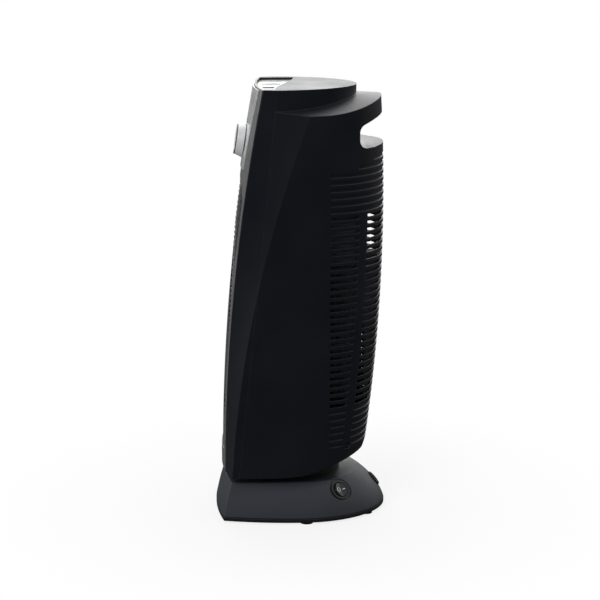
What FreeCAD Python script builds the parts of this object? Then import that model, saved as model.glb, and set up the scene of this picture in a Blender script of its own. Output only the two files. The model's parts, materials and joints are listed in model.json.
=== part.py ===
import FreeCAD, Part
import math
import os
import re
import types

import Sketcher

# Oscillating tower heater with a ceramic element.
# Millimetres, +Z up, front towards -Y, origin on the floor under the middle of the base.

V = FreeCAD.Vector
X_AXIS = V(1, 0, 0)
Y_AXIS = V(0, 1, 0)
Z_AXIS = V(0, 0, 1)

# Driving sizes

SIZES = {
    # Tower form
    "overall_height": 540,
    "tower_bottom": 57.5,
    "tower_half_width": 82,
    "front_depth": 100,
    "front_radius": 2660,
    "front_bow_radius": 300,
    "fascia_top_half_width": 68,
    "fascia_bottom_half_width": 45,
    "cheek_depth": 88.5,
    "cheek_lean_share": 0.058,
    "cheek_radius": 1437,
    "back_depth": 104,
    "back_peak_height": 394,
    "back_radius": 2260,
    "back_round_depth": 89,
    "back_round_loss": 15,
    "heel_depth": 5,
    "heel_angle": 16.2,
    "heel_bend_radius": 190,
    "heel_corner_depth": 77,
    "heel_corner_angle": 61,
    "heel_corner_radius": 6,
    "neck_gap": 4.4,
    "wall": 2.6,
    "top_thickness": 7,
    "parting_top_depth": 31,
    "parting_bottom_depth": 80,
    # Upper tier of the top and the ledge behind it
    "tier_centre_depth": 33,
    "tier_half_width": 71,
    "tier_length": 102.5,
    "ledge_tip_drop": 25.5,
    "ledge_back_drop": 11,
    "rim_half_width": 104,
    "rim_length": 153,
    "rim_tip_drop": 42,
    "rim_back_drop": 14.5,
    # Carry handle
    "handle_wall_depth": 69.5,
    "handle_roof_height": 494.2,
    "handle_roof_angle": 20.4,
    "handle_floor_height": 467.5,
    "handle_floor_length": 20,
    "handle_lip_angle": 5,
    "handle_corner_radius": 10,
    # Intake slots of the back
    "slot_pitch": 8.75,
    "slot_height": 4.4,
    "slot_top_height": 382,
    "slot_front_depth": 33,
    "slot_rib_inner": 57,
    "slot_rib_outer": 65,
    "groove_depth": 1.2,
    "groove_first_depth": 88,
    "groove_second_depth": 68,
    # Outlet window, grille and control plate
    "window_bottom_height": 83,
    "window_shoulder_height": 402,
    "window_top_height": 427,
    "window_bottom_half_width": 34,
    "window_top_half_width": 51.5,
    "grille_sink": 1,
    "grille_depth": 8,
    "grille_low_height": 150,
    "grille_low_depth": 94.5,
    "grille_high_height": 395,
    "grille_high_depth": 79,
    "grille_rim": 3,
    "grille_bar_width": 3,
    "grille_bar_offset": 15,
    "grille_bar_depth": 11,
    "louvre_pitch": 6.6,
    "louvre_thickness": 2.2,
    "louvre_radius": 137,
    "plate_bottom_height": 438,
    "plate_bottom_half_width": 33,
    "plate_top_half_width": 53,
    "plate_thickness": 1.3,
    "plate_top_gap": 2,
    "inlay_recess": 4.2,
    "inlay_thickness": 1.2,
    "inlay_front_margin": 3,
    "inlay_half_width": 60,
    "inlay_near_depth": 33,
    "inlay_far_depth": 6,
    # Thermostat and knob
    "knob_height": 470,
    "knob_base_radius": 21.5,
    "knob_front_radius": 18.6,
    "knob_length": 10.6,
    "knob_rim_round": 1.4,
    "knob_dish_radius": 14,
    "knob_dish_depth": 0.8,
    "knob_grip_length": 7.5,
    "spindle_radius": 3,
    "thermostat_width": 34,
    "thermostat_length": 24,
    "thermostat_bush_radius": 5,
    # Base
    "foot_height": 3,
    "foot_radius": 8,
    "base_plate_thickness": 4,
    "base_top_height": 49,
    "base_mid_height": 27,
    "base_wall": 3,
    "base_front_depth": 107.5,
    "base_corner_depth": 99,
    "base_corner_half_width": 80.5,
    "base_half_width": 93.5,
    "base_back_depth": 107.5,
    "base_mid_inset": 4.5,
    "base_mid_back_inset": 10.5,
    "base_top_front_inset": 11,
    "base_top_corner_inset": 10.5,
    "base_top_side_inset": 21.5,
    "base_top_back_inset": 34,
    "foot_side_inset": 10.5,
    "foot_side_back": 4,
    "foot_back_half_spread": 47.5,
    "foot_back_depth": 81,
    "foot_front_half_spread": 60,
    "foot_front_depth": 88,
    "base_boss_radius": 5,
    "base_boss_front_x": 62,
    "base_boss_front_y": 70,
    "base_boss_back_x": 38,
    "base_boss_back_y": 64,
    "gland_height": 31,
    "gland_radius": 5.5,
    "gland_flange_radius": 7.5,
    "gland_flange_thickness": 2.5,
    "gland_length": 16,
    "gland_bore": 3.6,
    "gland_boss_margin": 2,
    "gland_boss_length": 8,
    # Rocker switch
    "switch_back": 47.8,
    "switch_height": 38,
    "switch_recess_radius": 15.5,
    "switch_recess_depth": 3,
    "switch_boss_margin": 3,
    "switch_boss_length": 8,
    "switch_bezel_radius": 12.6,
    "switch_bezel_height": 2.4,
    "switch_body_radius": 11.4,
    "switch_body_length": 18,
    "switch_pocket_radius": 10.2,
    "switch_pocket_depth": 8.4,
    "rocker_radius": 9.9,
    "rocker_crown": 3.4,
    "rocker_skirt": 3,
    "rocker_tilt": 9,
    # Turntable
    "hub_tube_radius": 20,
    "hub_tube_bore": 16,
    "hub_flange_radius": 29,
    "hub_flange_thickness": 4,
    "hub_screw_ring": 24.6,
    "bush_flange_radius": 50,
    "bush_sleeve_radius": 25,
    "arm_hub_radius": 26,
    "arm_bottom": 31,
    "arm_thickness": 3,
    "arm_half_width": 8,
    "pin_radius": 2.5,
    "pin_play": 0.9,
    "pin_proud": 0.6,
    "crank_throw": 23,
    "crank_centre": 36,
    "crank_thickness": 3,
    "crank_margin": 5,
    "crank_gap": 3,
    "crank_shaft_radius": 3,
    "gearmotor_radius": 25,
    "gearmotor_gap": 2,
    "gearmotor_ear": 6,
    "gearmotor_ear_thickness": 2,
    "gearmotor_floor": 4,
    # Blower
    "fan_centre": 32,
    "fan_plate_bottom": 110,
    "fan_plate_top": 320,
    "fan_plate_thickness": 2.5,
    "fan_plate_half_width": 58,
    "fan_plate_front": 66,
    "fan_plate_margin": 2,
    "fan_gap": 5.5,
    "impeller_radius": 38,
    "impeller_disc": 2,
    "blade_depth": 9,
    "blade_thickness": 1.2,
    "blade_angle": 35,
    "shaft_radius": 3,
    "scroll_radius": 46,
    "scroll_thickness": 1.6,
    "scroll_arc": 80,
    "tongue_back": 8,
    "tongue_nose_radius": 2.4,
    "motor_radius": 30,
    "motor_length": 31,
    "motor_boss_radius": 9,
    "motor_cap_radius": 18,
    "motor_cap_length": 6,
    "bearing_radius": 9,
    "bearing_flange_radius": 13,
    "bearing_length": 9,
    "post_x": 42,
    "post_front": 34,
    "post_back": 42,
    "post_radius": 5,
    # Ceramic element
    "heater_half_width": 45.6,
    "heater_back": 40,
    "heater_depth": 16,
    "heater_border": 6,
    "heater_core_depth": 12,
    "heater_bar": 5,
    "heater_fin_pitch": 6,
    "heater_fin_thickness": 1.2,
    "cutout_radius": 8,
    "cutout_height": 7,
    "cutout_base": 2,
    # Small inner boxes
    "control_half_width": 52,
    "control_front": 36,
    "control_back": 78,
    "control_top_height": 430,
    "control_wall": 2,
    "duct_half_width": 16,
    "duct_bottom_height": 150,
    "duct_lap": 5.5,
    "tilt_width": 28,
    "tilt_depth": 20,
    "tilt_height": 32,
    "tilt_centre": 57,
    "tilt_cap_height": 4,
    "tilt_cap_inset": 4,
    "terminal_length": 34,
    "terminal_width": 18,
    "terminal_height": 16,
    "terminal_x": 45,
    "terminal_y": 40,
    "terminal_well": 4,
    "terminal_well_depth": 9,
    # Fasteners
    "screw_radius": 1.8,
    "screw_head_radius": 3.8,
    "screw_head_height": 2.4,
    "screw_length": 16,
    "screw_wall": 2,
    "screw_seat": 4,
    "low_screw_x": 58,
    "low_screw_height": 92,
    "high_screw_x": 35,
    "high_screw_height": 482,
    # Clearances
    "fit_gap": 0.05,
    "run_gap": 0.08,
    "part_gap": 0.3,
    "skin_overrun": 5,
    "overrun": 30,
}

# Counts

LOFT_SECTIONS = 6
CURVE_POINTS = 13
OPEN_ROWS = 28
UPPER_GROOVES = 8
LOWER_GROOVES = 6
BLADES = 24
HEATER_COLUMNS = 3
SCREWS_PER_FLANGE = 4

# How late the ledge rises on its way from its tips to the back

LEDGE_POWER = 2
RIM_POWER = 1.5

# Places along a length, from its middle or from its start

WELL_SHARES = (-1 / 3, 0, 1 / 3)
DISC_SHARES = (0, 1 / 2, 1)

doc = FreeCAD.newDocument("fan_heater")
sheet = doc.addObject("Spreadsheet::Sheet", "sizes")
for row, (alias, value) in enumerate(SIZES.items(), start=1):
    sheet.set(f"A{row}", alias)
    sheet.set(f"B{row}", str(value))
    sheet.setAlias(f"B{row}", alias)
doc.recompute()
s = types.SimpleNamespace(**{alias: float(sheet.get(alias)) for alias in SIZES})

pieces = []


# Ways to make an object of the document

def formula(text):
    """Write the sheet's name before each alias in an expression."""
    return re.sub(r"[a-z]\w*", lambda m: f"sizes.{m[0]}" if m[0] in SIZES else m[0], text)


def worth(text):
    """Work out an expression's present value."""
    return float(FreeCAD.Units.Quantity(str(sheet.evalExpression(formula(text)))).Value)


def bind(obj, **expressions):
    for name, text in expressions.items():
        obj.setExpression(name.replace("__", "."), formula(text))
    return obj


def place(obj, x="0", y="0", z="0", axis=Z_AXIS, angle="0"):
    obj.Placement = FreeCAD.Placement(V(), FreeCAD.Rotation(axis, 1))
    return bind(obj, Placement__Base__x=x, Placement__Base__y=y, Placement__Base__z=z,
                Placement__Rotation__Angle=angle)


def box(name, length, width, height, x="0", y="0", z="0"):
    obj = doc.addObject("Part::Box", name)
    bind(obj, Length=length, Width=width, Height=height)
    return place(obj, x, y, z)


def cylinder(name, radius, height, x="0", y="0", z="0", axis=Z_AXIS, angle="0", sweep="360"):
    obj = doc.addObject("Part::Cylinder", name)
    bind(obj, Radius=radius, Height=height, Angle=sweep)
    return place(obj, x, y, z, axis, angle)


def fuse(name, *shapes):
    obj = doc.addObject("Part::MultiFuse", name)
    obj.Shapes = list(shapes)
    return obj


def cut(name, base, *tools):
    obj = doc.addObject("Part::Cut", name)
    obj.Base = base
    obj.Tool = tools[0] if len(tools) == 1 else fuse(name + "_tools", *tools)
    return obj


def group(name, *shapes):
    obj = doc.addObject("Part::Compound", name)
    obj.Links = list(shapes)
    return obj


def feature(name, shape):
    obj = doc.addObject("Part::Feature", name)
    obj.Shape = shape
    return obj


def piece(label, obj):
    obj.Label = label
    pieces.append(obj)
    return obj


def sketch(body, name, role, loops=(), circles=()):
    """Draw closed loops of (x, y) formulas and circles of (x, y, radius) formulas on an origin plane."""
    drawing = body.newObject("Sketcher::SketchObject", name)
    plane = next(item for item in body.Origin.OriginFeatures if item.Role == role)
    drawing.AttachmentSupport = [(plane, "")]
    drawing.MapMode = "FlatFace"

    def pin(geometry, point, x, y):
        for kind, text, axis in (("DistanceX", x, -2), ("DistanceY", y, -1)):
            if text == "0":
                drawing.addConstraint(Sketcher.Constraint("PointOnObject", geometry, point, axis))
            else:
                mark = Sketcher.Constraint(kind, -1, 1, geometry, point, worth(text))
                drawing.setExpression(f"Constraints[{drawing.addConstraint(mark)}]", formula(text))

    for loop in loops:
        corners = [V(worth(x), worth(y), 0) for x, y in loop]
        first = drawing.GeometryCount
        for here, there in zip(corners, corners[1:] + corners[:1]):
            drawing.addGeometry(Part.LineSegment(here, there), False)
        for step, (x, y) in enumerate(loop):
            follower = first + (step + 1) % len(loop)
            drawing.addConstraint(Sketcher.Constraint("Coincident", first + step, 2, follower, 1))
            pin(first + step, 1, x, y)
    for x, y, radius in circles:
        ring = drawing.addGeometry(Part.Circle(V(worth(x), worth(y), 0), Z_AXIS, worth(radius)), False)
        pin(ring, 3, x, y)
        mark = Sketcher.Constraint("Radius", ring, worth(radius))
        drawing.setExpression(f"Constraints[{drawing.addConstraint(mark)}]", formula(radius))
    return drawing


def turned(name, *loop):
    """Turn a closed loop of (radius, height) formulas about the body's own Z axis."""
    body = doc.addObject("PartDesign::Body", name)
    spin = body.newObject("PartDesign::Revolution", name + "_turning")
    spin.Profile = sketch(body, name + "_profile", "XZ_Plane", [loop])
    spin.ReferenceAxis = (spin.Profile[0], ["V_Axis"])
    spin.Angle = 360
    return body


def drill(body, name, depth, *circles):
    """Cut round holes down from the body's XY plane, or up where the volume shows they missed."""
    doc.recompute()
    before = body.Shape.Volume
    pocket = body.newObject("PartDesign::Pocket", name)
    pocket.Profile = sketch(body, name + "_circles", "XY_Plane", circles=circles)
    bind(pocket, Length=depth)
    doc.recompute()
    if body.Shape.Volume >= before:
        pocket.Reversed = True
        doc.recompute()
    return body


# Form of the tower

def front_line(height):
    """Depth of the front at the middle: an arc that is upright at the bottom and leans back."""
    return -s.front_depth + (height - s.tower_bottom) ** 2 / (2 * s.front_radius)


def back_line(height):
    return s.back_depth - (height - s.back_peak_height) ** 2 / (2 * s.back_radius)


def cheek_line(height):
    """Depth of the crease between the slanted cheek and the side."""
    rise = height - s.tower_bottom
    return -s.cheek_depth + s.cheek_lean_share * rise + rise ** 2 / (2 * s.cheek_radius)


def height_share(height):
    return (height - s.tower_bottom) / (s.overall_height - s.tower_bottom)


def fascia_half_width(height):
    gain = s.fascia_top_half_width - s.fascia_bottom_half_width
    return s.fascia_bottom_half_width + gain * height_share(height)


def parting_line(height):
    gain = s.parting_bottom_depth - s.parting_top_depth
    return -s.parting_bottom_depth + gain * height_share(height)


def half_ellipse(centre, half_width, length):
    """Half of an ellipse, from its right end round the back to its left end."""
    right = centre + X_AXIS * half_width
    back = centre + Y_AXIS * length
    if length > half_width:
        curve = Part.Ellipse(back, centre - X_AXIS * half_width, centre)
    else:
        curve = Part.Ellipse(right, back, centre)
    start = curve.parameter(right)
    return Part.ArcOfEllipse(curve, start, start + math.pi).toShape()


def section(height, inset):
    """Plan of the tower at a height: bowed front, slanted cheeks, straight sides, round back."""
    middle = front_line(height)
    half_fascia = fascia_half_width(height)
    edge = V(half_fascia, middle + s.front_bow_radius
             - math.sqrt(s.front_bow_radius ** 2 - half_fascia ** 2), height)
    crease = V(s.tower_half_width, cheek_line(height), height)
    along = (crease - edge).normalize()
    start = edge + V(-along.y, along.x, 0) * inset
    bow_centre = V(0, middle + s.front_bow_radius, height)
    reach = (start - bow_centre).dot(along)
    spare = (start - bow_centre).Length ** 2 - (s.front_bow_radius - inset) ** 2
    corner = start + along * (math.sqrt(reach ** 2 - spare) * math.copysign(1, reach) - reach)
    half_width = s.tower_half_width - inset
    crease = start + along * ((half_width - start.x) / along.x)
    round_depth = s.back_round_depth - s.back_round_loss * height_share(height) ** 4
    side_end = V(half_width, back_line(height) - round_depth, height)
    mirror = [V(-point.x, point.y, height) for point in (corner, crease, side_end)]
    edges = [
        Part.Arc(mirror[0], V(0, middle + inset, height), corner).toShape(),
        Part.makeLine(corner, crease),
        Part.makeLine(crease, side_end),
        half_ellipse(V(0, side_end.y, height), half_width, round_depth - inset),
        Part.makeLine(mirror[2], mirror[1]),
        Part.makeLine(mirror[1], mirror[0]),
    ]
    return Part.Wire(edges)


def form(inset, bottom=None, top=None):
    """Solid set in from the outer skin, whole or kept between two heights."""
    start = s.tower_bottom - s.skin_overrun
    length = s.overall_height + s.skin_overrun - start
    heights = [start + length * index / (LOFT_SECTIONS - 1) for index in range(LOFT_SECTIONS)]
    solid = Part.makeLoft([section(height, inset) for height in heights], True)
    if bottom is None:
        return solid
    reach = s.tower_half_width + s.overrun
    return solid.common(Part.makeBox(2 * reach, 2 * s.overall_height, top - bottom,
                                     V(-reach, -s.overall_height, bottom)))


def prism(outline, direction):
    return Part.Face(Part.Wire(outline)).extrude(direction)


def polygon(*points):
    return Part.makePolygon(list(points) + [points[0]]).Edges


def ledge_space(wall):
    """Room above the ledge: a ruled strip from the tier's wall to the rim, raised."""
    def rail(half_width, length, tip_drop, back_drop, power):
        points = []
        for index in range(CURVE_POINTS):
            angle = math.pi * index / (CURVE_POINTS - 1)
            drop = tip_drop + (back_drop - tip_drop) * math.sin(angle) ** power + wall
            points.append(V(half_width * math.cos(angle), length * math.sin(angle) - s.tier_centre_depth,
                            s.overall_height - drop))
        curve = Part.BSplineCurve()
        curve.interpolate(points)
        return curve.toShape()

    inner = rail(s.tier_half_width - wall, s.tier_length - wall, s.ledge_tip_drop, s.ledge_back_drop,
                 LEDGE_POWER)
    outer = rail(s.rim_half_width, s.rim_length, s.rim_tip_drop, s.rim_back_drop, RIM_POWER)
    return Part.makeRuledSurface(inner, outer).extrude(Z_AXIS * (s.rim_tip_drop + s.overrun))


def handle_space(wall):
    """Finger gap under the rear lip, right through from side to side."""
    far = s.back_depth + s.overrun
    roof_slope = math.tan(math.radians(s.handle_roof_angle))
    lip_slope = math.tan(math.radians(s.handle_lip_angle))
    front = s.handle_wall_depth - wall
    roof = s.handle_roof_height + wall / math.cos(math.radians(s.handle_roof_angle)) - wall * roof_slope
    floor = s.handle_floor_height - wall
    bend = s.handle_wall_depth + s.handle_floor_length
    side = -s.tower_half_width - s.overrun
    outline = polygon(V(side, far, roof + roof_slope * (far - front)), V(side, front, roof),
                      V(side, front, floor), V(side, bend, floor),
                      V(side, far, floor + lip_slope * (far - bend)))
    solid = prism(outline, X_AXIS * (-2 * side))
    corners = [edge for edge in solid.Edges
               if abs(edge.Vertexes[0].X - edge.Vertexes[1].X) > s.tower_half_width
               and edge.CenterOfMass.y < bend + wall]
    return solid.makeFillet(s.handle_corner_radius, corners)


def heel_space(wall):
    """Room under the heel, which rises to a rounded corner, round the neck on the turntable."""
    side = -s.tower_half_width - s.overrun
    rise, steep = math.radians(s.heel_angle), math.radians(s.heel_corner_angle)

    def bend(corner, first, last, radius):
        """Arc between a line at the first angle and one at the last, which meet at the corner."""
        back = radius * math.tan((last - first) / 2)
        start = corner - V(0, math.cos(first), math.sin(first)) * back
        centre = start + V(0, -math.sin(first), math.cos(first)) * radius
        points = [centre + V(0, math.sin(angle), -math.cos(angle)) * radius
                  for angle in (first, (first + last) / 2, last)]
        return points, Part.Arc(*points).toShape()

    start = V(side, -s.heel_depth - wall * math.tan(rise / 2), s.tower_bottom + wall)
    run = (s.heel_corner_depth + s.heel_depth) / math.cos(rise)
    run -= wall * (math.tan((steep - rise) / 2) + math.tan(rise / 2))
    corner = start + V(0, math.cos(rise), math.sin(rise)) * run
    low_points, low_bend = bend(start, 0, rise, s.heel_bend_radius - wall)
    high_points, high_bend = bend(corner, rise, steep, s.heel_corner_radius - wall)
    end = high_points[-1] + V(0, math.cos(steep), math.sin(steep)) * s.overrun
    behind = V(side, end.y, start.z - s.overrun)
    under = V(side, low_points[0].y, behind.z)
    outline = [low_bend, Part.makeLine(low_points[-1], high_points[0]), high_bend,
               Part.makeLine(high_points[-1], end), Part.makeLine(end, behind), Part.makeLine(behind, under),
               Part.makeLine(under, low_points[0])]
    room = prism(outline, X_AXIS * (-2 * side))
    neck = s.hub_flange_radius + s.neck_gap + s.wall - wall
    return room.cut(upright(0, 0, behind.z - s.overrun, s.tower_bottom + s.overrun, neck))


def in_front_of_parting():
    """Everything in front of the leaning plane between the two casings."""
    side = -s.tower_half_width - s.overrun
    low = s.tower_bottom - s.overrun
    high = s.overall_height + s.overrun
    far = -s.front_depth - s.overrun
    outline = polygon(V(side, far, low), V(side, parting_line(low), low),
                      V(side, parting_line(high), high), V(side, far, high))
    return prism(outline, X_AXIS * (-2 * side))


def front_prism(outline):
    """Extend an outline drawn in the XZ plane through the whole front."""
    near = V(0, -s.front_depth - s.overrun, 0)
    moved = [edge.translated(near) for edge in outline]
    return prism(moved, Y_AXIS * (s.front_depth + s.overrun))


def tapered_outline(low_half_width, low, high_half_width, high):
    return polygon(V(-low_half_width, 0, low), V(low_half_width, 0, low),
                   V(high_half_width, 0, high), V(-high_half_width, 0, high))


def fascia_outline(low, high):
    return tapered_outline(fascia_half_width(low), low, fascia_half_width(high), high)


def window_outline(margin):
    """Opening of the outlet: straight sides that open upwards under an arched top."""
    low = s.window_bottom_height + margin
    bottom = V(s.window_bottom_half_width - margin, 0, low)
    shoulder = V(s.window_top_half_width - margin, 0, s.window_shoulder_height)
    top = V(0, 0, s.window_top_height - margin)
    left = [V(-point.x, 0, point.z) for point in (bottom, shoulder)]
    return [Part.makeLine(left[0], bottom), Part.makeLine(bottom, shoulder),
            Part.Arc(shoulder, top, left[1]).toShape(), Part.makeLine(left[1], left[0])]


def upright(x, y, bottom, top, radius):
    return Part.makeCylinder(radius, top - bottom, V(x, y, bottom))


def along_depth(x, height, front, back, radius):
    return Part.makeCylinder(radius, back - front, V(x, front, height), Y_AXIS)


def both_sides(x):
    return (-x, x)


low, high = s.tower_bottom, s.overall_height
outer_form = form(0, low, high)
tower_solid = outer_form.cut([ledge_space(0), handle_space(0), heel_space(0)])
cavity = form(s.wall, low + s.wall, high - s.top_thickness)
cavity = cavity.cut([ledge_space(s.wall), handle_space(s.wall), heel_space(s.wall)])
front_side = in_front_of_parting()
fascia_skin = outer_form.cut(form(s.wall))
fascia_skin = fascia_skin.common(front_prism(fascia_outline(low - s.overrun, high + s.overrun)))


def inlay_outline(margin):
    """Panel behind the front edge of the top, with a back edge that sweeps from the near to the far side."""
    half = s.inlay_half_width - margin
    front = front_line(high) + s.inlay_front_margin + margin
    front_side_y = front + s.front_bow_radius - math.sqrt(s.front_bow_radius ** 2 - half ** 2)
    front_left, front_right = V(-half, front_side_y, high), V(half, front_side_y, high)
    sweep = []
    for index in range(CURVE_POINTS):
        share = index / (CURVE_POINTS - 1)
        gain = (s.inlay_near_depth - s.inlay_far_depth) * share ** 2 * (3 - 2 * share)
        sweep.append(V(half - 2 * half * share, gain - s.inlay_near_depth - margin, high))
    back = Part.BSplineCurve()
    back.interpolate(sweep)
    return [Part.Arc(front_left, V(0, front, high), front_right).toShape(),
            Part.makeLine(front_right, sweep[0]), back.toShape(), Part.makeLine(sweep[-1], front_left)]


inlay_space = prism(inlay_outline(0), Z_AXIS * -s.inlay_recess)

# Screw tunnels that run from the back to the parting plane

SCREW_PLACES = ((s.low_screw_x, s.low_screw_height), (s.high_screw_x, s.high_screw_height))
HEAD_ROOM = s.screw_head_radius + s.part_gap
TUNNEL_RADIUS = HEAD_ROOM + s.screw_wall


def screw_seat(height):
    """Depth of the seat under a casing screw's head."""
    return parting_line(height) + s.screw_seat + TUNNEL_RADIUS


def rear_casing():
    """Sides, back and top, with the handle, the intake slots and the mounting posts."""
    shell = tower_solid.cut(cavity)
    inner = form(s.wall / 2, low + s.wall / 2, high - s.top_thickness)
    inner = inner.cut([handle_space(s.wall / 2), heel_space(s.wall / 2)])
    inside = []
    for place_x, height in SCREW_PLACES:
        for x in both_sides(place_x):
            inside.append(along_depth(x, height, -s.front_depth, s.back_depth, TUNNEL_RADIUS))
    for x in both_sides(s.post_x):
        for y in (-s.post_front, s.post_back):
            inside.append(upright(x, y, low, s.fan_plate_bottom, s.post_radius))
    shell = shell.fuse([solid.common(inner) for solid in inside])
    openings = [front_side, inlay_space]
    for place_x, height in SCREW_PLACES:
        for x in both_sides(place_x):
            openings.append(along_depth(x, height, screw_seat(height), s.back_depth + s.overrun, HEAD_ROOM))
            openings.append(along_depth(x, height, -s.front_depth, s.back_depth,
                                        s.screw_radius + s.fit_gap))
    openings.append(upright(0, 0, low - s.overrun, low + s.overrun, s.hub_tube_radius + s.fit_gap))
    for x, y in hub_screw_places():
        openings.append(upright(x, y, low, low + s.overrun, s.screw_radius + s.fit_gap))
    return shell.cut(openings).cut(slot_cutters())


def slot_row(height, front, ribbed):
    """One row across the back, whole or with a rib left on each side of the middle."""
    deep = s.back_depth + s.overrun - front
    side = s.tower_half_width + s.overrun
    spans = [(-side, side)]
    if ribbed:
        spans = [(-side, -s.slot_rib_outer), (-s.slot_rib_inner, s.slot_rib_inner), (s.slot_rib_outer, side)]
    return [Part.makeBox(end - start, deep, s.slot_height, V(start, front, height)) for start, end in spans]


def slot_cutters():
    """Open slots, and shallow blind grooves above and below them, the first two short."""
    slots, grooves = [], []
    fronts = {-UPPER_GROOVES: s.groove_first_depth, 1 - UPPER_GROOVES: s.groove_second_depth}
    for row in range(-UPPER_GROOVES, OPEN_ROWS + LOWER_GROOVES):
        height = s.slot_top_height - row * s.slot_pitch
        blocks = slot_row(height, fronts.get(row, s.slot_front_depth), row >= 0)
        if 0 <= row < OPEN_ROWS:
            slots.extend(blocks)
        else:
            grooves.extend(blocks)
    return [Part.makeCompound(slots), Part.makeCompound(grooves).cut(form(s.groove_depth))]


def hub_screw_places():
    places = []
    for index in range(SCREWS_PER_FLANGE):
        angle = 2 * math.pi * (index + 1 / 2) / SCREWS_PER_FLANGE
        places.append((s.hub_screw_ring * math.cos(angle), s.hub_screw_ring * math.sin(angle)))
    return places


def front_casing():
    """Black cheeks round the fascia, with bosses for the lower casing screws."""
    shell = tower_solid.cut(cavity).common(front_side)
    inner = form(s.wall / 2, low + s.wall / 2, high - s.top_thickness)
    bosses = [along_depth(x, s.low_screw_height, -s.front_depth, s.front_depth, TUNNEL_RADIUS)
              for x in both_sides(s.low_screw_x)]
    shell = shell.fuse([boss.common(inner).common(front_side) for boss in bosses])
    holes = [along_depth(x, s.low_screw_height, screw_seat(s.low_screw_height) - s.screw_length - s.part_gap,
                         s.back_depth, s.screw_radius + s.fit_gap) for x in both_sides(s.low_screw_x)]
    gap_top = high - s.top_thickness
    middle = front_prism(fascia_outline(low + s.wall, gap_top))
    ends = [front_prism(fascia_outline(*span)) for span in ((low - s.overrun, low + s.wall),
                                                               (gap_top, high + s.overrun))]
    core = form(s.wall)
    return shell.cut([inlay_space, middle] + [end.cut(core) for end in ends] + holes)


def fascia_frame():
    """Grey frame round the outlet, with bosses for the upper casing screws."""
    inner = form(s.wall / 2, low, high)
    bosses = [along_depth(x, s.high_screw_height, -s.front_depth, s.front_depth, TUNNEL_RADIUS)
              for x in both_sides(s.high_screw_x)]
    frame = fascia_skin.fuse([boss.common(inner).common(front_side) for boss in bosses])
    holes = [along_depth(x, s.high_screw_height,
                         screw_seat(s.high_screw_height) - s.screw_length - s.part_gap,
                         s.back_depth, s.screw_radius + s.fit_gap) for x in both_sides(s.high_screw_x)]
    return frame.cut([front_prism(window_outline(0)), spindle_hole(s.thermostat_bush_radius + s.fit_gap)]
                     + holes)


def lean_angle():
    return math.atan((s.knob_height - s.tower_bottom) / s.front_radius)


def spindle_hole(radius):
    out = V(0, -math.cos(lean_angle()), math.sin(lean_angle()))
    start = V(0, front_line(s.knob_height), s.knob_height) - out * s.overrun
    return Part.makeCylinder(radius, 2 * s.overrun, start, out)


def control_plate():
    """Silver plate that lies on the top of the fascia."""
    skin = form(-s.plate_thickness, low, high).cut(form(-s.fit_gap))
    outline = tapered_outline(s.plate_bottom_half_width, s.plate_bottom_height,
                              s.plate_top_half_width, high - s.plate_top_gap)
    skin = skin.common(front_prism(outline)).common(front_side)
    return skin.cut(spindle_hole(s.thermostat_bush_radius + s.part_gap))


def louvre_gap(height, half_width):
    """Air gap between two louvres: a band between two arcs that are higher at the middle."""
    gap = s.louvre_pitch - s.louvre_thickness
    sag = s.louvre_radius - math.sqrt(s.louvre_radius ** 2 - half_width ** 2)
    edges = []
    for base in (height, height + gap):
        edges.append(Part.Arc(V(-half_width, 0, base - sag), V(0, 0, base), V(half_width, 0, base - sag)))
    ends = [V(x, 0, height - sag) for x in both_sides(half_width)]
    lines = [Part.makeLine(end, end + Z_AXIS * gap) for end in ends]
    return front_prism(Part.__sortEdges__([edge.toShape() for edge in edges] + lines))


def in_front_of_grille():
    """Everything in front of the leaning plane on which the middle of the louvres ends."""
    lean = (s.grille_low_depth - s.grille_high_depth) / (s.grille_high_height - s.grille_low_height)
    side = -s.tower_half_width
    far = -s.front_depth - s.overrun
    foot = V(side, -s.grille_low_depth - lean * (s.grille_low_height - low), low)
    head = V(side, foot.y + lean * (high - low), high)
    return prism(polygon(V(side, far, low), foot, head, V(side, far, high)), X_AXIS * (-2 * side))


def front_grille():
    """Arched louvres in a rim, flat in the middle, with upright bars behind them."""
    inside = front_prism(window_outline(s.fit_gap))
    opening = front_prism(window_outline(s.fit_gap + s.grille_rim))
    near = form(s.grille_sink, low, high)
    blades = near.cut(form(s.grille_sink + s.grille_depth)).common(inside)
    count = math.ceil((s.window_top_height - s.window_bottom_height) / s.louvre_pitch) + 2
    gaps = [louvre_gap(s.window_bottom_height + s.louvre_pitch * index, s.window_top_half_width)
            for index in range(count)]
    blades = blades.cut(Part.makeCompound(gaps).common(opening))
    bars = form(s.grille_sink + s.grille_depth / 2, low, high).cut(form(s.grille_bar_depth))
    strips = [Part.makeBox(s.grille_bar_width, 2 * s.front_depth, high,
                           V(x - s.grille_bar_width / 2, -2 * s.front_depth, 0))
              for x in both_sides(s.grille_bar_offset)]
    grille = blades.fuse([bars.common(inside).common(strip) for strip in strips])
    return grille.cut(in_front_of_grille())


piece("rear_casing", feature("rear_casing", rear_casing()))
piece("front_casing", feature("front_casing", front_casing()))
piece("fascia_frame", feature("fascia_frame", fascia_frame()))
piece("control_plate", feature("control_plate", control_plate()))
piece("front_grille", feature("front_grille", front_grille()))
inlay = prism(inlay_outline(s.fit_gap), Z_AXIS * -s.inlay_thickness)
piece("top_inlay", feature("top_inlay", inlay.translated(Z_AXIS * (s.inlay_thickness - s.inlay_recess))))


# Form of the base

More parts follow.
